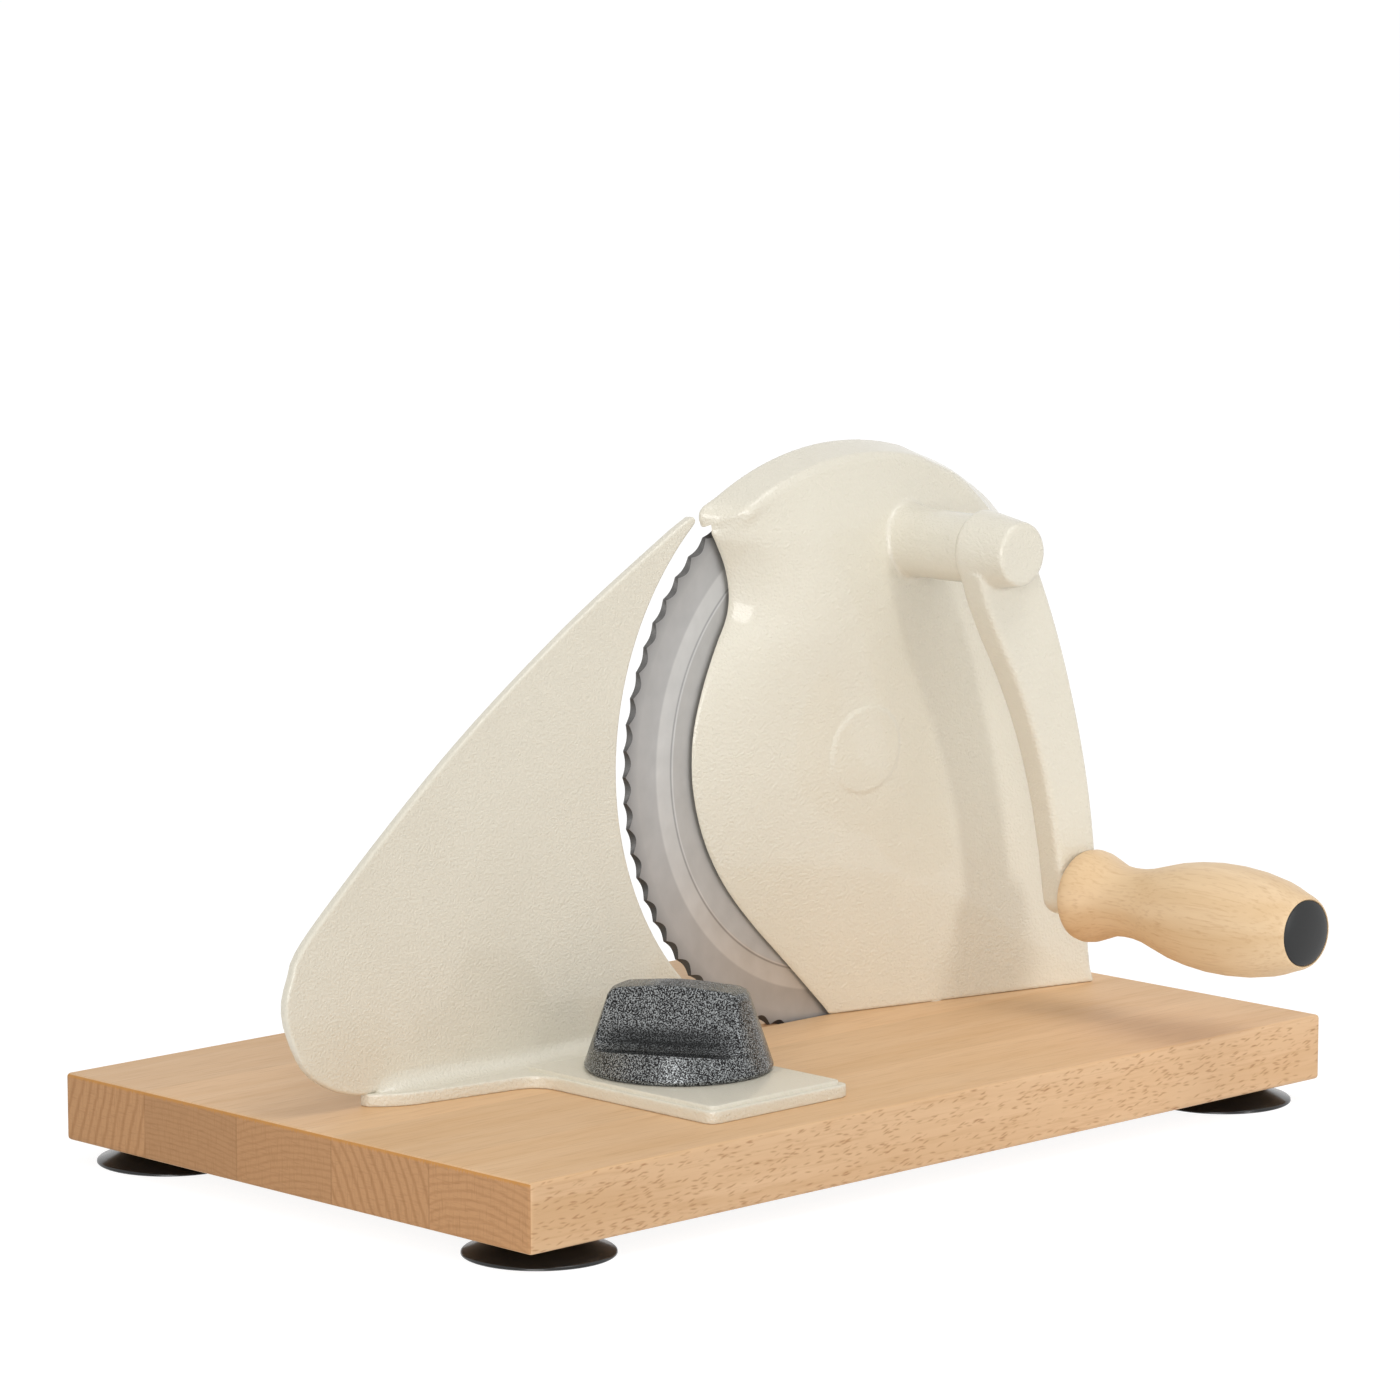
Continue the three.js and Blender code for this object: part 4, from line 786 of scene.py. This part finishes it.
def round_rim(bm, depth, radius, segments):
    """Rounds the rim of a plate's face that lies at a distance from the blade's plane."""
    level = blade_plane - depth * mm
    rim = [e for e in bm.edges if all(abs(v.co.y - level) < 1e-6 for v in e.verts)]
    bmesh.ops.bevel(
        bm, geom=rim, offset=radius * mm, offset_type="OFFSET", segments=segments, profile=0.5,
        affect="EDGES", material=-1, clamp_overlap=True)


arm_mesh = plate(arm_outline, arm_back, arm_front)
round_rim(arm_mesh, arm_front, 4.6, 6)
round_rim(arm_mesh, arm_back, 1.6, 6)
arm = piece_of(arm_mesh, "crank_arm_casting")
hub = piece_of(turned((
    (0, 69.6), (9.4, 69.6), (10.2, 69.3), (10.6, 68.6), (13.2, 53), (13.3, 51.6), (12.7, arm_back),
    (0, arm_back)), crank_spot, near), "hub")
carve(arm, "UNION", hub)
shaft_hole = pin(4.8, 40, 65.9, crank_spot, near, 64)
bolt_hole = pin(3.8, 52.3, 70, at(handle_axis.x, 0, handle_axis.y), near, 64)
carve(arm, "DIFFERENCE", shaft_hole, bolt_hole)
soften(arm, 0.6, 6)
arm.data.materials.append(ivory)
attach(arm, "crank")
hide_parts("crank_arm")
steel_copy("crank_grub_screw", "crank", zinc)

# Handle
# A turned beech grip that spins on a shoulder bolt, with a washer behind it and a charcoal plastic cap
# pressed into its end over the bolt's head.
grip_middle = at(handle_axis.x, -61.6, handle_axis.y)
grip_profile = (
    (3.9, 88), (8, 88), (8, 95.7), (11.05, 95.7), (11.05, 96.3), (11.3, 96.3), (11.7, 95.9), (12.4, 94.6),
    (13.6, 91), (14.9, 87.5), (15.9, 84), (17.5, 75), (18.2, 66), (18.15, 58), (17.4, 50), (16.2, 43),
    (14.3, 36), (12.6, 30), (11.8, 25), (11.6, 20), (12, 15), (13.8, 10), (15.2, 6), (15.6, 3.2),
    (15.2, 1.2), (14.2, 0.1), (13.4, 0.0), (3.9, 0.0),
)
grip = piece_of(turned(grip_profile, grip_middle, near, 96), "turned_grip", 40)

# Turned beech: the grain runs along the grip, with small ray flecks, under a thin matt varnish.
beech_turned, turned_shader, turned_place, turned_colour = beech_along(
    "turned beech grip", "#ECD1AC", "#E0C198", 1)
flecked = ray_flecks(
    beech_turned, turned_place, turned_colour, (1.1, 3.5, 1.1), 0.8, (0.15, 0.4), 0.14, "#A9784A")
turned_shader.inputs["Roughness"].default_value = 0.42
wear(beech_turned, turned_shader, Base_Color=flecked)
grip.data.materials.append(beech_turned)
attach(grip, "grip")
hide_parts("handle_grip")

cap_profile = (
    (0, 98), (3, 97.9), (6, 97.6), (8.6, 97.1), (10.1, 96.6), (10.7, 96.25), (10.8, 96.1), (10.8, 96),
    (7.7, 96), (7.7, 93), (6.5, 93), (6.5, 96), (0, 96),
)
cap = piece_of(turned(cap_profile, grip_middle, near, 72), "grip_end_cap", 40)

# Moulded ABS: charcoal, with the fine satin grain of a spark-eroded mould.
charcoal, charcoal_shader, _, spark = mottled("moulded charcoal plastic", 0.5, 2.0, "#121314", "#1B1C1D")
charcoal_shader.inputs["Roughness"].default_value = 0.45
wear(charcoal, charcoal_shader, Normal=dented(charcoal, spark, 0.3, 0.05))
cap.data.materials.append(charcoal)
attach(cap, "grip")
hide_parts("handle_end_cap")
steel_copy("handle_bolt", "crank", zinc)
steel_copy("handle_washer", "crank", zinc)

# Gauge fence
# One enamelled casting: a shark-fin plate whose hollow edge follows the blade, on a lip and a stepped
# foot. A key under the foot guides it in the board's slot.
fin_thickness = 3.5
foot_top = 4.1
step_top = 5.3
fillet, fillet_start, fillet_end = 6, -143, 3
fin_end = -141
fin_middle = Vector((65, 93.8))
fin_hollow = 102
fin_top_height = 170.4
low_turn = math.pi + math.asin(fin_middle.y / fin_hollow)
high_turn = math.pi - math.asin((fin_top_height - fin_middle.y) / fin_hollow)
fin_arc = []
for i in range(49):
    turn = low_turn + (high_turn - low_turn) * i / 48
    fin_arc.append(fin_middle + fin_hollow * Vector((math.cos(turn), math.sin(turn))))
fin_top = fin_arc[-1]
fin_tip = [fin_top + Vector(p) for p in ((0.9, 1.0), (1.0, 2.1), (0.2, 2.9), (-1, 3.0))]
fin_back = smooth_line((
    (fin_top.x - 1, fin_top.y + 3), (fin_top.x - 13.5, fin_top.y - 3.5), (fin_top.x - 58.5, fin_top.y - 30),
    (fin_top.x - 109, fin_top.y - 65.5), (-165, 59), (-175, 44), (-177, 32), (-170, 16), (-160, 8),
    (-148, foot_top), (fin_end, foot_top)), 70)[1:]
fin_outline = fin_arc + fin_tip + fin_back + [Vector((fin_end, foot_top)), Vector((fin_end, 0))]
fin_mesh = plate(fin_outline, 0, fin_thickness)
round_rim(fin_mesh, 0, 1.1, 4)
round_rim(fin_mesh, fin_thickness, 1.1, 4)
fin_sides = [f for f in fin_mesh.faces if abs(f.normal.y) > 0.99 and f.calc_area() > (50 * mm) ** 2]
bmesh.ops.inset_individual(fin_mesh, faces=fin_sides, thickness=0.4 * mm, use_even_offset=True)
fillet_cuts = [
    (at(0, 0, z), up) for z in (foot_top, 4.3, 4.8, 5.6, 6.6, 7.8, 9, foot_top + fillet)]
fillet_cuts += [
    (at(x, 0, 0), Vector((1, 0, 0))) for x in (fin_end, -139, -137, -134, -131, -128, -10, -6, -3, 0, 2)]
for cut_at, cut_across in fillet_cuts:
    bmesh.ops.bisect_plane(
        fin_mesh, geom=fin_mesh.verts[:] + fin_mesh.edges[:] + fin_mesh.faces[:], plane_co=cut_at,
        plane_no=cut_across)
for vert in fin_mesh.verts:
    height = (vert.co.z - board_top) / mm - foot_top
    across = vert.co.x / mm
    if abs(vert.co.y - blade_plane + fin_thickness * mm) < 1e-6 and height < fillet:
        reach = fillet - math.sqrt(fillet ** 2 - (fillet - max(height, 0)) ** 2)
        fade = swell((across - fillet_start) / 14) * swell((fillet_end - across) / 9)
        vert.co.y -= reach * fade * mm
fin = piece_of(fin_mesh, "fence_fin", 30)
foot_mesh = bmesh.new()
slab(foot_mesh, soft_outline((
    (-145, -0.3, 0), (-145, -3.7, 1.5), (-137, -11.2, 8), (-86, -18.8, 9), (-86, -97.7, 4), (-25, -97.7, 4),
    (-25, -17.5, 8), (4, -11.5, 2), (4, -0.3, 0))), 0, foot_top)
slab(foot_mesh, long_hole(4.7, 13.5), -6, 1)
foot = piece_of(foot_mesh, "fence_foot")
soften(foot, 0.55, 4)
step_mesh = bmesh.new()
slab(step_mesh, soft_outline((
    (-84, -12, 0), (-84, -95.7, 3), (-27, -95.7, 3), (-27, -12, 0))), foot_top - 0.9, step_top)
step_rim = [e for e in step_mesh.edges if all(v.co.z > board_top + foot_top * mm for v in e.verts)]
bmesh.ops.bevel(
    step_mesh, geom=step_rim, offset=0.6 * mm, offset_type="OFFSET", segments=3, profile=0.5,
    affect="EDGES", material=-1)
foot_step = piece_of(step_mesh, "fence_foot_step")
for casting in (fin, foot, foot_step):
    casting.data.materials.append(ivory)
    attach(casting, "fence")
    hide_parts("gauge_fence")

# Clamp knob
# A cast knob with a finger bar across it, finished in hammer paint. It has a threaded bronze insert and
# draws up a bolt and slide plate from under the board to lock the fence.
knob_foot = at(clamp_axis.x, clamp_axis.y, step_top)
bar_turn = math.radians(29.5)
past_knob = 33
knob = piece_of(turned((
    (0, 0), (29.2, 0), (30, 0.5), (30.2, 1.4), (22.6, 23.8), (21.4, 25.4), (19.2, 26.3), (0, 28.1)),
    knob_foot, up, 96), "clamp_knob_casting")
scoop_line = (
    (5.4, 30), (10.9, 15.5), (11.7, 12.2), (13, 9.6), (15.2, 7.9), (17.6, 7.4), (20.2, 7.9),
    (past_knob, 10.6), (past_knob, 30))
for side in (0, math.pi):
    scoop_mesh = bmesh.new()
    draw_out(scoop_mesh, [Vector((x, past_knob, z)) * mm for x, z in scoop_line], near * 2 * past_knob * mm)
    bmesh.ops.transform(
        scoop_mesh, verts=scoop_mesh.verts,
        matrix=Matrix.Translation(knob_foot) @ Matrix.Rotation(bar_turn + side, 4, "Z"))
    carve(knob, "DIFFERENCE", piece_of(scoop_mesh, "scoop"))
carve(knob, "DIFFERENCE", pin(7.1, -2, 16.3, knob_foot, up, 64))
soften(knob, 0.38, 3)

# Hammer paint: silver flakes drawn into worm-like spots on a black ground, glossy and dimpled. In the
# hollow of the scoops an occlusion node turns the flakes near black: painted shade for the dark groove.
hammer, hammer_shader, hammer_place = new_finish("hammer paint")
ruffle = add(hammer, "ShaderNodeTexNoise", {
    "Vector": hammer_place, "Scale": 1 / (0.44 * mm), "Detail": 1.5}).outputs[0]
# Painted shade: where the knob hides itself, in the hollow of the scoops, the flakes go near black.
occlusion_for_painted_shade = add(hammer, "ShaderNodeAmbientOcclusion", {"Distance": 12 * mm}, only_local=True)
painted_shade_share = ranged(hammer, occlusion_for_painted_shade.outputs["AO"], (0.81, 0.96))
flake_tone_with_painted_shade = mix(hammer, painted_shade_share, "#0E0F10", "#9CA0A2")
hammer_tone = mix(hammer, ranged(hammer, ruffle, (0.46, 0.62)), "#060708", flake_tone_with_painted_shade)
hammer_shader.inputs["Metallic"].default_value = 0.3
hammer_shader.inputs["Specular IOR Level"].default_value = 0.3
hammer_shader.inputs["Roughness"].default_value = 0.24
wear(hammer, hammer_shader, Base_Color=hammer_tone, Normal=dented(hammer, ruffle, 0.4, 0.2))
knob.data.materials.append(hammer)
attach(knob, "knob")
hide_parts("clamp_knob")
steel_copy("knob_insert", "knob", bronze)
steel_copy("clamp_bolt", "fence", zinc)
steel_copy("clamp_slide", "fence", zinc)

# Floor
# A plain white sweep under the slicer. It shows white to the camera and in reflections, and keeps a faint
# shadow where the cups stand.
floor_mesh = bmesh.new()
bmesh.ops.create_grid(floor_mesh, x_segments=1, y_segments=1, size=30)
floor = piece_of(floor_mesh, "floor")
white, white_shader = mottled("white paper", 3, 2.0, "#F4F4F4", "#FAFAFA")[:2]
white_shader.inputs["Roughness"].default_value = 0.9
white_shader.inputs["Specular IOR Level"].default_value = 0.0
sight = add(white, "ShaderNodeLightPath", {})
seen = reckon(white, "ADD", sight.outputs["Is Camera Ray"], sight.outputs["Is Glossy Ray"])
clear = reckon(white, "ADD", seen, sight.outputs["Is Transmission Ray"])
glow_share = reckon(white, "MULTIPLY", clear, 0.75)
glow = add(white, "ShaderNodeEmission", {"Color": (1, 1, 1, 1), "Strength": 1.2})
blend = add(white, "ShaderNodeMixShader", {0: glow_share, 1: white_shader.outputs[0], 2: glow.outputs[0]})
white.node_tree.links.new(blend.outputs[0], white.node_tree.nodes["Material Output"].inputs["Surface"])
floor.data.materials.append(white)

# Light
# A bright studio: even light from all round, a soft box on the camera's side and one overhead. A small lamp
# with a snoot, low in front, throws the crank's shadow on the housing.
world = bpy.data.worlds.new("studio")
bpy.context.scene.world = world
world.use_nodes = True
sky = world.node_tree.nodes["Background"]
ray = add(world, "ShaderNodeLightPath", {})
direct = reckon(world, "MAXIMUM", ray.outputs["Is Camera Ray"], ray.outputs["Is Glossy Ray"])
open_sky = reckon(world, "MAXIMUM", direct, ray.outputs["Is Transmission Ray"])
wear(world, sky, Color=mix(world, open_sky, "#FFFDF9", "#FFFFFF"),
     Strength=ranged(world, open_sky, target=(0.53, 1.0)))


def hang(lamp, stand, aim):
    """Puts a lamp on its stand and turns it to what it lights."""
    holder = bpy.data.objects.new(lamp.name, lamp)
    holder.location = stand
    holder.rotation_euler = (Vector(aim) - Vector(stand)).to_track_quat("-Z", "Y").to_euler()
    bpy.context.scene.collection.objects.link(holder)


for name, stand, size, power in (
    ("soft box", (-1.45, -1.2, 0.5), 0.8, 12.4),
    ("overhead", (0.1, -0.6, 1.9), 1.0, 9.6),
):
    lamp = bpy.data.lights.new(name, "AREA")
    lamp.size = size
    lamp.energy = power
    hang(lamp, stand, (0.02, 0, 0.1))
snoot = bpy.data.lights.new("snoot", "SPOT")
snoot.energy = 62.0
snoot.shadow_soft_size = 0.18
snoot.spot_size = math.radians(10)
snoot.spot_blend = 1.0
hang(snoot, (0.16, -1.83, 0.64), (0.182, -0.02, 0.085))

# Camera
# Stands off the near left corner at a little above the slicer's height, with a long lens and a small rise.
look_down, heading = 10.0845, -44.168
lens = bpy.data.cameras.new("camera")
lens.sensor_width = 36
lens.lens = 161.8
lens.shift_y = 0.1093
lens.clip_end = 100
camera = bpy.data.objects.new("camera", lens)
camera.location = (-1.40998, -1.4275, 0.4517)
camera.rotation_euler = (math.radians(90 - look_down), 0, math.radians(heading))
bpy.context.scene.collection.objects.link(camera)
bpy.context.scene.camera = camera
bpy.context.scene.view_settings.view_transform = "Standard"
